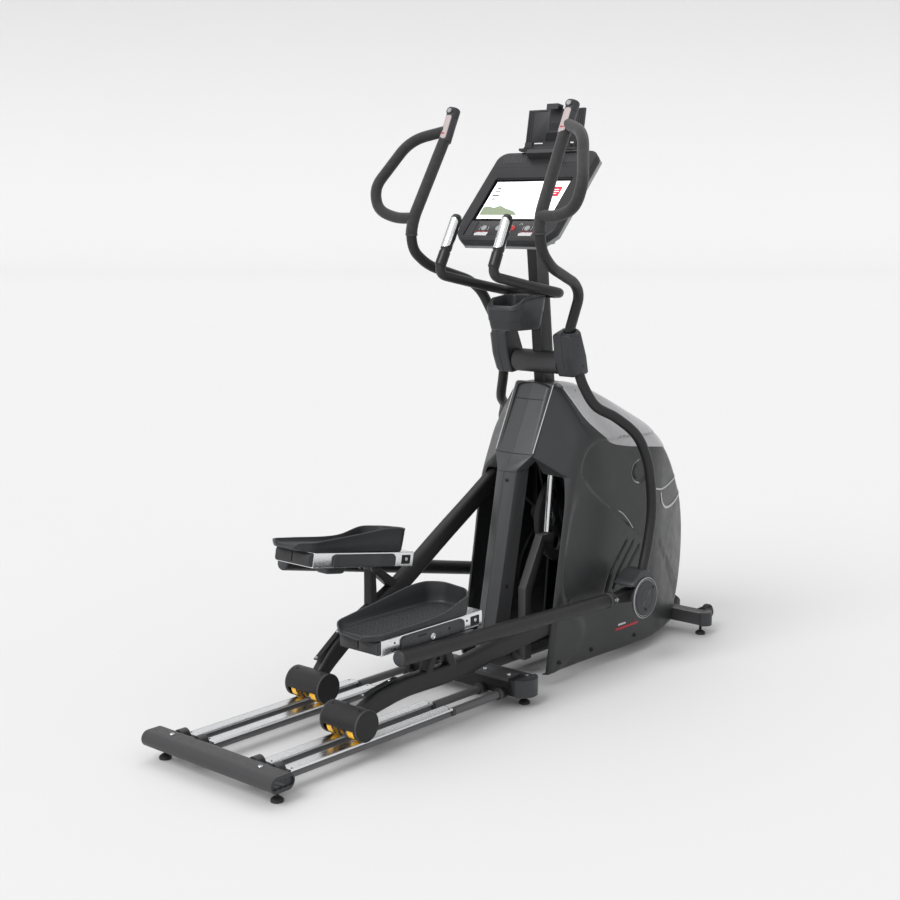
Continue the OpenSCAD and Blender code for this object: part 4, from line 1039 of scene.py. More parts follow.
sides_of_deck = joined(*[pad(62, 30, 3, -119.5, v, 1.2, 3.4, 1.0) for v in (-134, 134)])
build("deck_ends", *sides_of_deck, "shell", "console_shell")
build("lip_groove", *joined(pad(2.4, 286, 1.1, -160, 0, 5.2, 6.15, 0.05),
                            pad(1.4, 356, 0.6, 132, 0, 5.2, 6.12, 0.05)),
      "groove", "console_shell")

glass = layered(rounded_box(0.1662, 0.2952, 0.003, 5), rows_mm((-7, 0), (-1.3, 0), (-1, 0.4)), FACE)
build("display_glass", *glass, "glass", "screen", replaces=True)
build("display_picture", *pad(153, 283, 1.5, 0, 0, -1.1, -0.85, 0.05), "screen_white", "screen")
hill_rows = [(-62, 139), (-30, 139), (-26, 120), (-31, 96), (-24, 74), (-33, 52), (-40, 30), (-48, 8),
             (-58, -4),
             (-62, -8)]
hill = np.vstack([spline(plain(hill_rows[1:]), 0.003), plain(hill_rows[:1])])
build("display_sky", *prism(fillet(plain([(-62, 139), (4, 139), (-4, 90), (-26, 20), (-62, -20)]), 0.012,
                                   True, 5), -0.9 * MM,
                            -0.78 * MM, FACE), "screen_sky", "screen")
build("display_hill", *prism(hill, -0.82 * MM, -0.72 * MM, FACE), "screen_green", "screen")
marks = [pad(2.4, 14, 0.8, 68, 124, -0.9, -0.74, 0.02)]
for row, u in enumerate((50, 35, 20, 5)):
    marks.append(pad(5.5, 16 + 6 * (row % 3), 1.5, u, 118, -0.9, -0.72, 0.02))
for u, v in ((26, -2), (26, -48), (-4, -2), (-4, -48), (-34, -2), (-34, -48)):
    marks.append(pad(2.0, 18, 0.7, u - 4, v, -0.9, -0.70, 0.02))
build("display_marks", *joined(*marks), "screen_ink", "screen")
cards = [pad(1.2, 26, 0.5, u - 2, 92, -0.9, -0.75, 0.02) for u in (50, 35, 20, 5)]
for u in (32, 2, -28):
    for v in (-2, -48):
        cards.append(pad(24, 40, 3, u, v, -0.9, -0.78, 0.05))
cards.append(pad(1.2, 270, 0.4, -66, 0, -0.9, -0.76, 0.02))
build("display_cards", *joined(*cards), "screen_card", "screen")
build("display_tile", *pad(40, 44, 2, 34, -104, -0.9, -0.74, 0.05), "screen_red", "screen")
tile_lines = [pad(2, w, 0.8, u, -104, -0.8, -0.68, 0.02) for u, w in ((42, 26), (34, 32), (26, 20))]
build("tile_lines", *joined(*tile_lines), "screen_white", "screen")

KEY_U, KEY_V = -118, (84, 28, -28, -84)
KEY_NODES = ("incline_rocker", "start_key", "stop_key", "resistance_rocker")
for key_node, v in zip(KEY_NODES, KEY_V):
    disc_shape = lathe(rows_mm((-3.6, 10), (3.6, 10), (4.4, 9.5), (4.8, 8.6), (4.5, 5), (4.3, 0.1)),
                       FACE(KEY_U * MM, v * MM, 0), FACE(0, 0, 1) - FACE(0, 0, 0), 44)
    build(key_node + "_cap", *disc_shape, "stop" if key_node == "stop_key" else "key", key_node,
          replaces=True, angle=40)
rings = [lathe(rows_mm((1.5, 10.5), (2.4, 10.8), (2.6, 11.6), (2.4, 12.4), (1.5, 12.8)),
               FACE(KEY_U * MM, v * MM, 0), FACE(0, 0, 1) - FACE(0, 0, 0), 44) for v in KEY_V]
build("key_rings", *joined(*rings), "shell", "console_shell", angle=60)
arcs = []
for v in (56, -56):
    side = 1 if v > 0 else -1
    arcs += [ribbon(arc(-118, v + side * 28, 17, a, a + 52), 1.1) for a in (64, 154, 244)]
arcs += [ribbon(arc(-100, 12, 11, 120, 210), 1.2), ribbon(arc(-100, -12, 11, 150, 240), 1.2),
         ribbon([(-104, -46), (-96, -52), (-104, -58)], 1.3),
         ribbon([(-132, -4), (-126, 0), (-132, 4)], 1.6)]
for low, high in ((60, 112), (-112, -60)):
    arcs.append(plain([(-147, low + 2), (-147, high - 2), (-138, high), (-134, high - 12), (-134, low)]))
build("deck_marks", *joined(*[prism(a, 1.6 * MM, 1.98 * MM, FACE) for a in arcs]), "mark", "console_shell")
build("deck_lines", *joined(*[pad(1.8, 54, 0.6, -132, v, 1.6, 2.0, 0.05) for v in (86, -86)]), "red",
      "console_shell")

vents = []
for side in SIDES.values():
    for i in range(9):
        v = side * (78 + 9.5 * i)
        vents.append(prism(ribbon([(150, v - 4), (186, v + 4)], 2.6), 5.4 * MM, 6.25 * MM, FACE))
build("ridge_vents", *joined(*vents), "groove", "console_shell")
ribs = [prism(ribbon([(149, side * (73.4 + 9.5 * i) - 4), (187, side * (73.4 + 9.5 * i) + 4)], 3.0),
              5.4 * MM, 7.0 * MM, FACE)
        for side in SIDES.values() for i in range(10)]
build("ridge_ribs", *joined(*ribs), "shell", "console_shell")

# tablet rest: edge ridges, a plain badge and its lower tray, over the CAD plate
def on_plate(width, height, radius, y, z, low, high, soft=0.6):
    """A small rounded plate on the tablet rest, in millimetres."""
    outline = moved(rounded_box(width * MM, height * MM, radius * MM), y, z)
    return layered(outline, rows_mm((low, 0), (high - soft, 0), (high, soft)), PLATE_FACE)


ridges = [on_plate(3, 112, 1.4, side * y, 78, -1, 2.2) for side in SIDES.values() for y in (103, 96, 89)]
ridges += [on_plate(70, 2.6, 1.2, side * 64, 133.5, -1, 1.8) for side in SIDES.values()]
ridges.append(on_plate(150, 10, 3, 0, 25, -1, 6, 1.5))
build("plate_ridges", *joined(*ridges), "shell", "tablet_holder")
build("plate_badge", *on_plate(62, 26, 4, 0, 52, -1, 1.0), "glass", "tablet_holder")
build("plate_tray", *joined(*[on_plate(34, 5, 2, s * 72, 14, 24, 31, 1.2) for s in SIDES.values()]),
      "bezel",
      "tablet_holder")
build("clamp_ribs", *joined(*[on_plate(38, 1.6, 0.7, 0, z, 0, 1.6) for z in (74, 80, 86, 92)]), "bezel",
      "tablet_clamp")

# ---- cup holder --------------------------------------------------------------------------
CUP_LOW, CUP_TOP = 1.092, 1.196
cup_corners = [(88, -50), (118, -66), (236, -66), (260, -46), (260, 46), (236, 66), (118, 66), (88, 50)]
cup_outline = fillet(plain(cup_corners), 0.022, True, 7)
cup_well = fillet(plain([(108, -40), (128, -54), (196, -54), (214, -40), (214, 40), (196, 54), (128, 54),
                         (108, 40)]),
                  0.018, True, 7)


def cup():
    """A bucket with a sloping thick rim, and an inner wall down to its floor."""
    n = len(cup_outline)
    middle = (cup_outline.min(0) + cup_outline.max(0)) / 2
    well_middle = (cup_well.min(0) + cup_well.max(0)) / 2
    reach, well_reach = np.abs(cup_outline - middle).max(0), np.abs(cup_well - well_middle).max(0)
    outer = [(0, 30), (0, 17), (0.02, 13), (0.07, 10.5), (0.40, 6), (0.42, 4.6), (0.86, 1.6), (0.88, 0.2),
             (0.96, 0), (0.99, 1),
             (1, 3)]
    inner = [(1, -2.5), (0.985, -1), (0.95, 0), (0.5, 3), (0.16, 7), (0.10, 12), (0.10, 36)]
    verts = []
    for base, centre, far, rows in ((cup_outline, middle, reach, outer),
                                    (cup_well, well_middle, well_reach, inner)):
        for share, inset in rows:
            for p in base:
                x, y = centre + (p - centre) * (1 - inset * MM / far)
                low = CUP_LOW + 0.058 * ease(x, 0.215, 0.262)
                high = CUP_TOP - 0.034 * (1 - ease(x, 0.088, 0.156))
                verts.append((x, y, low + (high - low) * share))
    faces = grid_faces(len(outer) + len(inner), n, closed=True)
    return np.array(verts), faces + [tuple(range(n))[::-1], tuple(range(len(verts) - n, len(verts)))]


build("cup_bucket", *cup(), "cover", "cup_holder", replaces=True, angle=38)


# ---- stride arms and carriages -----------------------------------------------------------
ARM_LENGTH = 1.168
arm_line = resample(fillet(plain([(0, 0, 0), (92, 0, 24), (205, 0, 30), (430, 0, 2), (640, 0, 4),
                                  (870, 0, -2),
                                  (1168, 0, 0)]), 0.085), 0.008) + (0, LANE, 0)
pivot = np.array([PIVOT_IN_ARM[0], LANE, PIVOT_IN_ARM[1]])
arm_sections = [rounded_box(0.036, 0.044 + 0.014 * ease(x, 0.02, 0.14), 0.013, 6) for x in arm_line[:, 0]]
EYE = [(-18, 0.88), (-16.4, 0.97), (-14, 1), (14, 1), (16.4, 0.97), (18, 0.88)]


def eye(place, radius):
    """A pivot eye at the end of an arm."""
    return lathe([(a * MM, radius * r) for a, r in EYE], place, Y_AXIS, 44)


def leg(foot):
    """One leg of the upright, from the arm to the pedal pivot."""
    line = resample([pivot + np.array(foot) * MM, pivot + (0, 0, -0.008)], 0.01)
    sizes = np.linspace(0.030, 0.022, len(line))
    return sweep(line, [rounded_box(0.034, s, 0.007) for s in sizes], across=Y_AXIS)


strap = resample(fillet(plain([(54, 150, 57), (100, 150, 60), (190, 150, 64)]), 0.03), 0.006)
strap_rows = [rounded_box(0.018, 0.005, 0.0024, 4)] * len(strap)
arm_shape = joined(sweep(arm_line, arm_sections, across=Y_AXIS), eye((0, LANE, 0), 0.023),
                   eye((ARM_LENGTH, LANE, 0), 0.036), leg((-70, 0, -126)), leg((46, 0, -126)),
                   eye(pivot, 0.0155))
on_arm("arm_beam", arm_shape, "coat", "stride_arm", replaces=True, angle=50)
on_arm("arm_strap", sweep(strap, strap_rows, across=Y_AXIS), "coat_dark", "stride_arm", angle=50)
bolts = [screw((0.165, LANE, 0.0645), (-0.06, 0, 1), 0.0055, 0.003),
         screw((0.060, LANE, 0.0600), (-0.1, 0, 1), 0.004, 0.0024)]
on_arm("arm_bolts", joined(*bolts), "bolt", "stride_arm")
on_arm("pivot_bolts", joined(screw(pivot + (0, 0.0285, 0), Y_AXIS, 0.0095, 0.003),
                             screw(pivot - (0, 0.0285, 0), -Y_AXIS, 0.0095, 0.003)), "bolt", "stride_arm")

HOUSING_Z, HOUSING_R, HOUSING_HALF = 0.106, 0.044, 0.0685
ROLLER_OFF = 0.038
AXLE_Z = JOINT_AT["right_tilt"][2]
HOUSING_POSE = {s: (lambda points, s=s: np.array(points, float) + (JOINT_AT[s + "_tilt"][0], 0, 0))
                for s in SIDES}
on_housing = riding(HOUSING_POSE)


def barrel_skin(windows, front_slot, radius, y_low, y_high):
    """A drum as a grid, open where a window or the slot is."""
    turns = np.radians(np.arange(0, 361, 5))
    ys = np.unique(np.concatenate([np.linspace(y_low, y_high, 15),
                                   np.array([w for v in windows for w in v[2:]]),
                                   np.array(front_slot[2:])]))
    verts = np.array([(radius * math.cos(a), y, HOUSING_Z + radius * math.sin(a)) for y in ys
                      for a in turns[:-1]])
    n = len(turns) - 1
    faces = []
    for i in range(len(ys) - 1):
        y = (ys[i] + ys[i + 1]) / 2
        for k in range(n):
            a = math.degrees(turns[k]) + 2.5
            if any(low < a < high and w0 < y < w1 for low, high, w0, w1 in list(windows) + [front_slot]):
                continue
            faces.append((i * n + k, i * n + (k + 1) % n, (i + 1) * n + (k + 1) % n, (i + 1) * n + k))
    return verts, faces


WINDOWS = ((190, 226, 0.094, 0.126), (190, 226, 0.130, 0.147), (190, 226, 0.153, 0.170),
           (190, 226, 0.174, 0.206),
           (235, 360, 0.0865, 0.2135))
SLOT = (-1, 78, 0.129, 0.171)
WRAP_SLOT = (330, 360, 0.129, 0.171)
drum = barrel_skin(WINDOWS + (WRAP_SLOT,), SLOT, HOUSING_R, 0.0865, 0.2135)
drum_in = barrel_skin(WINDOWS + (WRAP_SLOT,), SLOT, HOUSING_R - 0.003, 0.0865, 0.2135)
DISC_END = [(-2.5, 41), (-2.5, 43.2), (-1.6, 44), (2.4, 44), (3.2, 43.4), (3.5, 42.2), (3.5, 40.6),
            (2.9, 40), (2.9, 39.2),
            (3.5, 38.6)]
end_discs = [lathe([(side * a * MM, r * MM) for a, r in DISC_END],
                   (0, LANE + side * (HOUSING_HALF - 0.0035), HOUSING_Z), Y_AXIS, 72)
             for side in SIDES.values()]
on_housing("housing_drum", joined(drum, drum_in), "coat", "roller_housing", replaces=True, angle=60)
on_housing("housing_discs", joined(*end_discs), "coat_dark", "roller_housing", angle=30)
on_housing("housing_screws", joined(*[screw((-0.012, LANE + d, HOUSING_Z + 0.0428), (-0.25, 0, 1), 0.004,
                                            0.0016) for d in (-0.05, 0.05)]), "dark_bolt", "roller_housing")


def roller(side):
    """One roller of a carriage, on the given side of its lane."""
    y = LANE + side * ROLLER_OFF
    rows = [(-13, 10), (-13, 31), (-12.4, 35.6), (-10.5, 37.4), (-8, 38), (8, 38), (10.5, 37.4),
            (12.4, 35.6), (13, 31), (13, 10)]
    return lathe([(a * MM, min(r, 37.96) * MM) for a, r in rows], (0, y, AXLE_Z), Y_AXIS, 64)


hubs = [lathe([(side * a * MM, r * MM) for a,
               r in ((12.6, 9.2), (12.6, 24), (13.2, 23), (13.2, 14), (14.0, 13.6), (14.0, 9.2))],
              (0, LANE + side * ROLLER_OFF, AXLE_Z), Y_AXIS, 44) for side in SIDES.values()]
on_housing("roller_tyres", joined(roller(-1), roller(1)), "urethane", "rollers", replaces=True, angle=40)
on_housing("roller_hubs", joined(*hubs), "rubber", "rollers", angle=30)

# ---- pedals ---------------------------------------------------------------------------------
WALL_IN = [(-347, 74), (-160, 100), (-6, 121), (84, 118)]
WALL_OUT = [(-347, 68), (-250, 70), (-60, 78), (24, 102), (84, 112)]
PLATE_LOW = 49.4
PLATE_CORNERS = [(-311, 66), (54, 66), (84, 100), (84, 190), (44, 234), (-317, 234), (-347, 204),
                 (-347, 102)]
plate_outline = resample(np.vstack([fillet(plain(PLATE_CORNERS), 0.018, True, 7),
                                    fillet(plain(PLATE_CORNERS), 0.018, True, 7)[:1]]), 0.006)[:-1]


def wall_top(x, y):
    """Height of the tray's wall: tall on the inside, wavy on the outside, with a dip at the heel."""
    inner = np.interp(x, *(spline(plain(WALL_IN), 0.004).T))
    outer = np.interp(x, *(spline(plain(WALL_OUT), 0.004).T))
    share = ease(y, 0.088, 0.205)
    heel = 0.013 * (1 - ease(x, -0.345, -0.318)) * ease(y, 0.095, 0.118) * (1 - ease(y, 0.180, 0.205))
    return inner * (1 - share) + outer * share - heel


def tray():
    """Outer wall, rounded rim, inner wall and floor, as rings that follow the outline."""
    n = len(plate_outline)
    middle = np.array([(-0.347 + 0.084) / 2, LANE])
    reach = np.array([0.2155, 0.084])
    top = np.array([wall_top(x, y) for x, y in plate_outline])
    base, floor = PLATE_LOW * MM, (PLATE_LOW + 8) * MM
    rings = []

    def ring(inset, height):
        spot = middle + (plate_outline - middle) * (1 - inset * MM / reach)
        rings.append(np.column_stack([spot, height * np.ones(n)]))

    for inset, lift in ((40, 0), (9, 0), (6, 0.8), (4.2, 3.5)):
        ring(inset, base + lift * MM)
    ring(2.2, base + (top - base) * 0.45)
    for inset, drop in ((0.6, 4.2), (0, 3.0), (0.2, 1.3), (1.2, 0.3), (2.4, 0), (3.6, 0.3), (4.6, 1.3),
                        (5.0, 3.0)):
        ring(inset, top - drop * MM)
    ring(6.4, floor + (top - floor) * 0.45)
    for inset, lift in ((8.0, 7), (9.4, 3.2), (12, 0.9), (16, 0)):
        ring(inset, floor + lift * MM)
    ring(60, floor)
    faces = grid_faces(len(rings), n, closed=True)
    return np.vstack(rings), faces + [tuple(range(n))[::-1],
                                      tuple(range((len(rings) - 1) * n, len(rings) * n))]


FLOOR_LEVEL = PLATE_LOW + 8
treads = []
for i in range(24):
    x = -300 + 14.6 * i
    half = 60 - 22 * ease(abs(x + 131), 150, 210)
    place = place_in((x * MM, LANE, FLOOR_LEVEL * MM), Y_AXIS, X_AXIS, Z_AXIS)
    treads.append(layered(rounded_box(2 * half * MM, 0.0072, 0.003, 3),
                          rows_mm((-1, 0), (1.6, 0.3), (2.2, 1.4)), place))
on_pedal("foot_tray", tray(), "cover", "foot_plate", replaces=True, angle=45)
on_pedal("foot_treads", joined(*treads), "tread", "foot_plate")
skirt = layered(fillet(plain([(-290, 84), (40, 84), (60, 110), (60, 190), (30, 222), (-290, 222)]), 0.014,
                       True, 4),
                rows_mm((46.5, 5), (49.6, 0)), place_in((0, 0, 0), X_AXIS, Y_AXIS, Z_AXIS))
on_pedal("foot_skirt", skirt, "coat_dark", "foot_plate")

CHANNEL_Z, CHANNEL_WIDE = 0.027, 0.150
CHANNEL = place_in((0, LANE, CHANNEL_Z), Y_AXIS, Z_AXIS, X_AXIS)
profile = rounded_box(CHANNEL_WIDE, 0.044, 0.004, 4)
on_pedal("channel_body", layered(profile, rows_mm((-303, 1), (-302, 0), (109, 0), (110, 1)), CHANNEL),
         "aluminium", "pedal_channel", replaces=True)
on_pedal("channel_cap", layered(profile, rows_mm((-312, 6), (-311, 4), (-309, 3), (-304, 3), (-303.4, 3)),
                                CHANNEL), "cover", "pedal_channel", angle=30)
cap_panels = [layered(moved(rounded_box(0.066, 0.030, 0.004, 4), side * 36, 0),
                      rows_mm((-313.6, 0), (-314.9, 0.2), (-315.4, 1)),
                      CHANNEL) for side in SIDES.values()]
on_pedal("channel_cap_panels", joined(*cap_panels), "coat_dark", "pedal_channel")
SIDE = place_in((0, LANE + CHANNEL_WIDE / 2, CHANNEL_Z), X_AXIS, Z_AXIS, Y_AXIS)


def inwards(shape):
    """The same shape on the channel's inner face."""
    verts, faces = shape
    return np.array(verts) * (1, -1, 1) + (0, 2 * LANE, 0), faces


def on_side(width, height, radius, x, z, low, high, soft=0.3):
    """A small rounded plate on the channel's outer face, in millimetres."""
    outline = moved(rounded_box(width * MM, height * MM, radius * MM), x, z)
    return layered(outline, rows_mm((low, 0), (high - soft, 0), (high, soft)), SIDE)


window = on_side(38, 27, 3, 78, -1, -1, 0.6)
on_pedal("channel_window", joined(window, inwards(window)), "groove", "pedal_channel")
window_bolt = screw(SIDE(0.078, 0, 0.0008), Y_AXIS, 0.0055, 0.002)
on_pedal("channel_window_bolt", joined(window_bolt, inwards(window_bolt)), "bolt", "pedal_channel")
hole_rims = [screw(SIDE(x * MM, z * MM, 0.0002), Y_AXIS, r * MM, 0.0009) for x, z,
             r in ((44, 4, 3.4), (-252, 6, 3.0), (-252, -9, 2.4))]
on_pedal("channel_holes", joined(*hole_rims), "dark_bolt", "pedal_channel")
rails = [on_side(60, 1.4, 0.6, 64, z, -0.4, 0.9)
         for z in (19, -19)] + [on_side(44, 1.4, 0.6, -252, z, -0.4, 0.9) for z in (19, 13, -19)]
on_pedal("channel_lines", joined(*rails), "aluminium", "pedal_channel")

# link: tube, collar, fork and the moulded side cover
LINK_LEN = float(np.linalg.norm(FOOT_JOINT["right"] - JOINT_AT["right_pedal"]))
LINK_Y = 0.245
tube_from, tube_to = np.array((-0.258, LINK_Y, -0.019)), np.array((LINK_LEN - 0.104, LINK_Y, -0.003))
link_line, link_rows = rounded_ends(resample([tube_from, tube_to], 0.012), circle(0.022, 40), 0.004)
head = unit(tube_to - tube_from)
collar_rows = [(-16, 21.8), (-15, 24), (-2, 24.6), (2, 26), (5, 26), (7, 24), (7.5, 12)]
fork_outline = fillet(plain([(-104, -15), (-60, -17), (-16, -22), (8, -24), (24, -12), (25, 8), (12, 23),
                             (-12, 22),
                             (-56, 14), (-104, 12)]), 0.008, True, 4)
LINK_PLAN = place_in((LINK_LEN, 0, 0), X_AXIS, Z_AXIS, Y_AXIS)
link_shape = joined(sweep(link_line, link_rows), lathe(rows_mm(*collar_rows), tube_to, head, 44),
                    layered(fork_outline, rows_mm((228.5, 3), (231, 0.6), (235, 0), (255, 0), (259, 0.6),
                                                  (261.5, 3)), LINK_PLAN))
on_link("link_tube", link_shape, "coat", "pedal_link", replaces=True, angle=40)
on_link("link_bolt", joined(screw((LINK_LEN - 0.082, 0.2615, -0.002), Y_AXIS, 0.0075, 0.003),
                            screw(tube_to + (0, 0.0245, 0.004), Y_AXIS, 0.004, 0.002)), "bolt",
        "pedal_link")
end_plug = lathe(rows_mm((-1.5, 16), (-1.5, 19.5), (0.4, 20), (1, 19)), tube_from, -head, 40)
on_link("link_plug", end_plug, "cover", "pedal_link")
cover_shape = layered(fillet(plain([(-228, -20), (28, -20), (28, 8), (18, 17), (-216, 17), (-228, 10)]),
                             0.005, True, 4),
                      rows_mm((0.2, 1), (1, 0), (5.4, 0), (7, 1.6)), SIDE)
panel = layered(fillet(plain([(-206, -15), (-40, -15), (-40, 13), (-206, 13)]), 0.004, True, 4),
                rows_mm((6.6, 0), (7.4, 0.5)), SIDE)
on_pedal("side_cover", joined(cover_shape, panel, inwards(cover_shape), inwards(panel)), "cover",
         "pedal_link")
on_pedal("side_slot", on_side(34, 5.4, 2.6, -150, 7, 6.8, 7.9, 0.1), "groove", "pedal_link")
ring_bolt = SIDE(-0.108, -0.006, 0.0066)
on_pedal("side_ring", joined(lathe(rows_mm((0, 9.6), (2.2, 9.6), (3, 8.8), (3, 7.2), (1.4, 6.6)), ring_bolt,
                                   Y_AXIS, 36), screw(ring_bolt, Y_AXIS, 0.0042, 0.002)), "bolt",
         "pedal_link")
side_holes = [screw(SIDE(x * MM, z * MM, 0.0068), Y_AXIS, r * MM, 0.0010)
              for x, z, r in ((-78, -2, 2.6), (-40, 2, 5), (12, 10, 2.4), (12, -14, 2.4), (-196, 8, 2.4),
                              (-196, -12, 2.4), (-150, -12, 2.2))]
on_pedal("side_holes", joined(*side_holes), "groove", "pedal_link")
ears = []
for y in (0.1235, 0.1765):
    ears.append(lathe([(-5 * MM, 0.017), (-4 * MM, 0.0185), (4 * MM, 0.0185), (5 * MM, 0.017)], (0, y, 0),
                      Y_AXIS, 36))
under = place_in((0, 0, 0), X_AXIS, Y_AXIS, Z_AXIS)
tray_arm = layered(fillet(plain([(-205, 178), (-150, 96), (-190, 96), (-205, 130)]), 0.004, True, 3),
                   rows_mm((-6, 1), (-5, 0), (4.8, 0)), under)
beam = layered(fillet(plain([(-205, 176), (60, 176), (60, 241), (-205, 241)]), 0.008, True, 4),
               rows_mm((-6, 2), (-4, 0), (4.8, 0)), under)
pin = lathe([(0.122, 0.008), (0.178, 0.008)], (0, 0, 0), Y_AXIS, 28)
on_pedal("link_bracket", joined(*ears, beam, tray_arm, pin), "coat", "pedal_link", angle=40)
stop_block = layered(fillet(plain([(-228, 92), (-150, 92), (-140, 150), (-228, 150)]), 0.01, True, 4),
                     rows_mm((-17, 10), (-14, 5), (-2, 0.6), (4.8, 0)), under)
on_pedal("channel_foot", stop_block, "cover", "pedal_link", angle=40)


# ---- base: feet, wheels, bolts and track ends ------------------------------------------------
FEET = ((at(0), 37), (at(989), 36), (at(1971), 38))
PAD = [(0, 15.6), (0.5, 16.8), (5.5, 17), (7.6, 16.5), (9, 15), (13.4, 9.4), (14, 5)]
pads, nuts = [], []
for x, top in FEET:
    for y in (-0.222, 0.222):
        base = (x, y, 0)
        pads.append(lathe(rows_mm(*PAD), base, Z_AXIS, 40))
        thread = [(a * MM, (5.0 if k % 2 else 4.5) * MM) for k, a in enumerate(np.arange(12, top + 3, 0.9))]
        nuts.append(lathe(thread, base, Z_AXIS, 20))
        nuts.append(lathe([((top + a) * MM, r * MM) for a,
                           r in ((-7, 8.1), (-6.3, 9), (-0.8, 9), (-0.1, 8.1))], base, Z_AXIS, 6))
build("feet_pads", *joined(*pads), "rubber", "levelling_feet", replaces=True, angle=40)
build("feet_nuts", *joined(*nuts), "dark_bolt", "levelling_feet", angle=25)

WHEEL = [(-11, 5.1), (-11, 8), (-8, 8.4), (-8, 19), (-10.6, 20.4), (-10.6, 23), (-9, 26.6), (-6, 28),
         (6, 28), (9, 26.6),
         (10.6, 23), (10.6, 20.4), (8, 19), (8, 8.4), (11, 8), (11, 5.1)]
wheels = [lathe(rows_mm(*WHEEL), (at(2031), side * 0.210, 0.064), Y_AXIS, 48) for side in SIDES.values()]
build("nose_wheels", *joined(*wheels), "rubber", "transport_wheels", replaces=True, angle=35)

bright = [screw((at(-11), side * 0.175, 0.081), Z_AXIS, 0.007, 0.004) for side in SIDES.values()]
bright += [screw((at(946), side * LANE + gap, 0.094), Z_AXIS, 0.006, 0.004) for side in SIDES.values()
           for gap in (-0.046, 0.046)]
bright += [screw((at(1000), side * 0.222, 0.084), Z_AXIS, 0.005, 0.003) for side in SIDES.values()]
build("base_bolts", *joined(*bright), "bolt", "fasteners", replaces=True)
flank_bolts = on_skin([(at(1210), 0.066), (at(1390), 0.066), (at(1620), 0.066)])
washers = [lathe([(-2 * MM, 0.0085), (1 * MM, 0.0085), (1.6 * MM, 0.0078)], p, Y_AXIS, 30)
           for p in flank_bolts]
both("flank_bolts", joined(*washers, *[screw(p + (0, 0.0016, 0), Y_AXIS, 0.0062, 0.0034)
                                       for p in flank_bolts]),
     "dark_bolt", "fasteners")

TRACK_FROM, TRACK_TO, TRACK_TOP = at(62), at(683), 0.060
blocks, pins = [], []
for lane in (0.112, 0.188):
    for x, outward in ((TRACK_FROM, -1), (TRACK_TO, 1)):
        place = place_in((x, lane, TRACK_TOP), X_AXIS * outward, Z_AXIS, Y_AXIS)
        outline = fillet(plain([(0.3, -24), (0.3, -0.6), (7, -2.4), (15, -8), (16, -24)]), 0.002, True, 3)
        blocks.append(layered(outline, rows_mm((-17, 1), (-16, 0), (16, 0), (17, 1)), place))
        pins.append(screw((x - outward * 0.010, lane + 0.011, TRACK_TOP), Z_AXIS, 0.0026, 0.0009))
both("track_blocks", joined(*blocks), "cover", "rail_tracks", angle=30)
both("track_pins", joined(*pins), "dark_bolt", "rail_tracks")
grooves = [layered(rounded_box(0.600, 0.0012, 0.0005, 2), rows_mm((-0.3, 0), (0.25, 0.1)),
                   place_in(((TRACK_FROM + TRACK_TO) / 2, lane + edge, TRACK_TOP), X_AXIS, Y_AXIS, Z_AXIS))
           for lane in (0.112, 0.188) for edge in (-0.0155, 0.0155)]
both("track_lines", joined(*grooves), "steel", "rail_tracks")
collars = [lathe([(0, 0.0125), (0, 0.0165), (12 * MM, 0.0165), (14 * MM, 0.0145), (14 * MM, 0.0125)],
                 (at(900), lane, 0.042),
                 X_AXIS, 36) for lane in (0.112, 0.188)]
both("tube_collars", joined(*collars), "coat_dark", "rail_tubes", angle=30)

# spine cover: seams, the bright edge of its upper part, and its screws
SPINE_ROWS = np.array([(1040, 1056, 1120, 30, 84), (1066, 1080, 1150, 35, 197), (1158, 1172, 1236, 38, 660),
                       (1196, 1206, 1262, 73, 706), (1302, 1310, 1328, 74, 920)], float)


def spine_at(z):
    """Crease, edge and front X, and the half width, of the spine cover at a height."""
    crease, edge, front, half = (np.interp(z * 1000, SPINE_ROWS[:, 4], SPINE_ROWS[:, k]) for k in range(4))
    return at(crease), at(edge), at(front), half * MM


def spine_band(z, radius):
    """A thin bead round the spine cover at a height."""
    crease, edge, front, half = spine_at(z)
    return tube([(front - 0.004, -half - 0.0004, z), (edge - 0.0003, -half - 0.0004, z),
                 (crease - 0.0006, 0, z),
                 (edge - 0.0003, half + 0.0004, z), (front - 0.004, half + 0.0004, z)], radius, bend=0.002,
                sides=10, step=0.01)


build("spine_seams", *joined(spine_band(0.870, 0.0011), spine_band(0.708, 0.0011),
                             spine_band(0.655, 0.0008)), "groove",
      "spine_cover")
edge_line = []
for z in np.linspace(0.712, 0.917, 16):
    crease, edge, front, half = spine_at(z)
    edge_line.append((edge - 0.0004, half + 0.0002, z))
both("spine_edge", tube(edge_line, 0.0017, 0.0015, bend=0.004, sides=12), "trim", "spine_cover", angle=60)
crease_line = [(spine_at(z)[0] - 0.0002, 0, z) for z in np.linspace(0.10, 0.865, 30)]
build("spine_crease", *tube(crease_line, 0.0012, 0.001, bend=0.004, sides=10), "spine", "spine_cover",
      angle=60)
side_screws = []
for z in (0.745, 0.860):
    crease, edge, front, half = spine_at(z)
    side_screws.append(screw((edge + 0.012, half, z), Y_AXIS, 0.0055, 0.002))
side_screws.append(screw(on_skin([(0.345, 0.893)])[0], (-0.3, 0.8, 0.4), 0.0050, 0.002))
for z in (0.30, 0.16):
    crease, edge, front, half = spine_at(z)
    side_screws.append(screw((edge + 0.030, half, z), Y_AXIS, 0.0065, 0.002))
both("spine_screws", joined(*side_screws), "dark_bolt", "spine_cover")
build("spine_face_screw", *screw((spine_at(0.630)[0] + 0.004, -0.013, 0.630), -X_AXIS, 0.0058, 0.0022),
      "dark_bolt", "spine_cover")

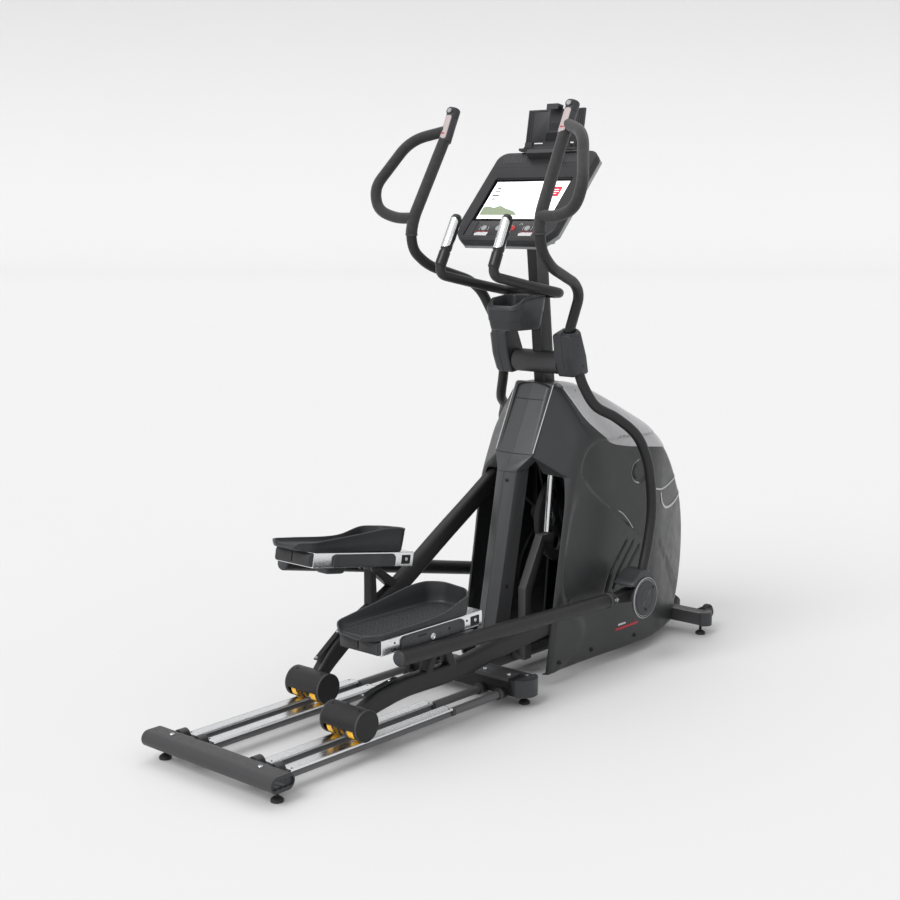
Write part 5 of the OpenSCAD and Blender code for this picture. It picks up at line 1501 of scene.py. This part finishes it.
# shroud inlays, and a silver arc on the flank that is a painted highlight
# ARC: a pale silver strip on the flank where the crease fades out, a painted highlight for light caught along the
# curve.
ARC = spline([(0.488, 0.498), (0.514, 0.484), (0.546, 0.455), (0.579, 0.416)], 0.005)
NOSE_LINE = spline([(0.700, 0.540), (0.745, 0.532), (0.800, 0.533), (0.860, 0.540), (0.925, 0.552)], 0.005)
CRESCENT = spline([(0.742, 0.522), (0.756, 0.484), (0.790, 0.462), (0.850, 0.456), (0.925, 0.466),
                   (1.000, 0.484)], 0.005)
scoop_rim = [(SCOOP_AT[0] + SCOOP_SIZE[0] * 0.90 * math.cos(a),
              SCOOP_AT[1] + SCOOP_SIZE[1] * 0.90 * math.sin(a))
             for a in np.linspace(math.radians(95), math.radians(265), 26)]
scoop_fill = [(SCOOP_AT[0] + SCOOP_SIZE[0] * 0.50 * math.cos(a) - 0.004,
               SCOOP_AT[1] + SCOOP_SIZE[1] * 0.55 * math.sin(a))
              for a in np.linspace(math.radians(110), math.radians(250), 18)]
STRIPS = (
    ("arc_painted_highlight", ARC, 3.0, 0.8, "trim", "{s}_shroud"),
    ("nose_inlay", NOSE_LINE, 6.0, 1.4, "trim", "shroud_trim"),
    ("nose_crescent", CRESCENT, 8.5, 1.6, "trim", "shroud_trim"),
    ("accent_line", [(0.474, 0.105), (0.597, 0.107)], 7.5, 0.8, "red", "{s}_shroud"),
    ("accent_bar", [(0.488, 0.1185), (0.528, 0.119)], 6.0, 0.8, "mark", "{s}_shroud"),
    ("scoop_inlay", scoop_rim, 5.0, 1.0, "trim", "{s}_shroud"),
    ("scoop_glint", scoop_fill, 10.0, 1.0, "groove", "{s}_shroud"),
)
for label, line, width, lift, mat, node in STRIPS:
    both(label, inlay(line, width * MM, lift * MM), mat, node, angle=60)


# ---- room, light and camera ---------------------------------------------------
SKY = 0.80
FLOOR_TINT = (0.64, 0.64, 0.64)


def room():
    """A wide floor that runs up into a far wall, both as pale as the sky."""
    floor_half, wall_high, cove = 40.0, 16.0, 8.0
    rows = [(-floor_half, 0.0)]
    for i in range(17):
        a = math.radians(90 * i / 16)
        rows.append((floor_half - cove + cove * math.sin(a), cove - cove * math.cos(a)))
    rows.append((floor_half, wall_high))
    verts = [(s * floor_half, y, z) for y, z in rows for s in (-1, 1)]
    faces = [(2 * i, 2 * i + 1, 2 * i + 3, 2 * i + 2) for i in range(len(rows) - 1)]
    mesh = bpy.data.meshes.new("studio_floor")
    mesh.from_pydata(verts, [], faces)
    smooth(mesh, 60)
    floor = bpy.data.objects.new("studio_floor", mesh)
    floor.rotation_euler = (0, 0, math.radians(-48.7))
    bpy.context.scene.collection.objects.link(floor)
    pale = Finish("pale_floor", 0.7).paint(FLOOR_TINT, 0.006, 0.5).polish(2, 0.03)
    mesh.materials.append(pale.set("Specular IOR Level", 0.1).mat)
    floor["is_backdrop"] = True


def sun(name, heading, height, power, soft):
    """A broad lamp from a compass heading and height in degrees."""
    lamp = bpy.data.lights.new(name, "SUN")
    lamp.energy = power
    lamp.angle = math.radians(soft)
    made = bpy.data.objects.new(name, lamp)
    made.rotation_euler = (math.radians(90 - height), 0, math.radians(heading + 90))
    bpy.context.scene.collection.objects.link(made)


def studio():
    """An even white sky and two broad lamps."""
    world = bpy.data.worlds.new("soft_sky")
    world.use_nodes = True
    world.node_tree.nodes["Background"].inputs["Color"].default_value = (1, 1, 1, 1)
    world.node_tree.nodes["Background"].inputs["Strength"].default_value = SKY
    bpy.context.scene.world = world
    sun("key", 180, 44, 2.1, 34)
    sun("top", 40, 68, 0.5, 50)


CAMERA_AT = (-3.3814, -2.8501, 1.4495)
CAMERA_DOWN, CAMERA_HEADING = 9.161, -48.719
LENS, SENSOR = 59.13, 36


def camera():
    """The camera at the fitted place."""
    made = bpy.data.objects.new("camera", bpy.data.cameras.new("camera"))
    made.data.sensor_width = SENSOR
    made.data.lens = LENS
    made.location = CAMERA_AT
    made.rotation_euler = (math.radians(90 - CAMERA_DOWN), 0, math.radians(CAMERA_HEADING))
    bpy.context.scene.collection.objects.link(made)
    bpy.context.scene.camera = made


room()
studio()
camera()
bpy.context.scene.view_settings.view_transform = "Standard"

low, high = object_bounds()
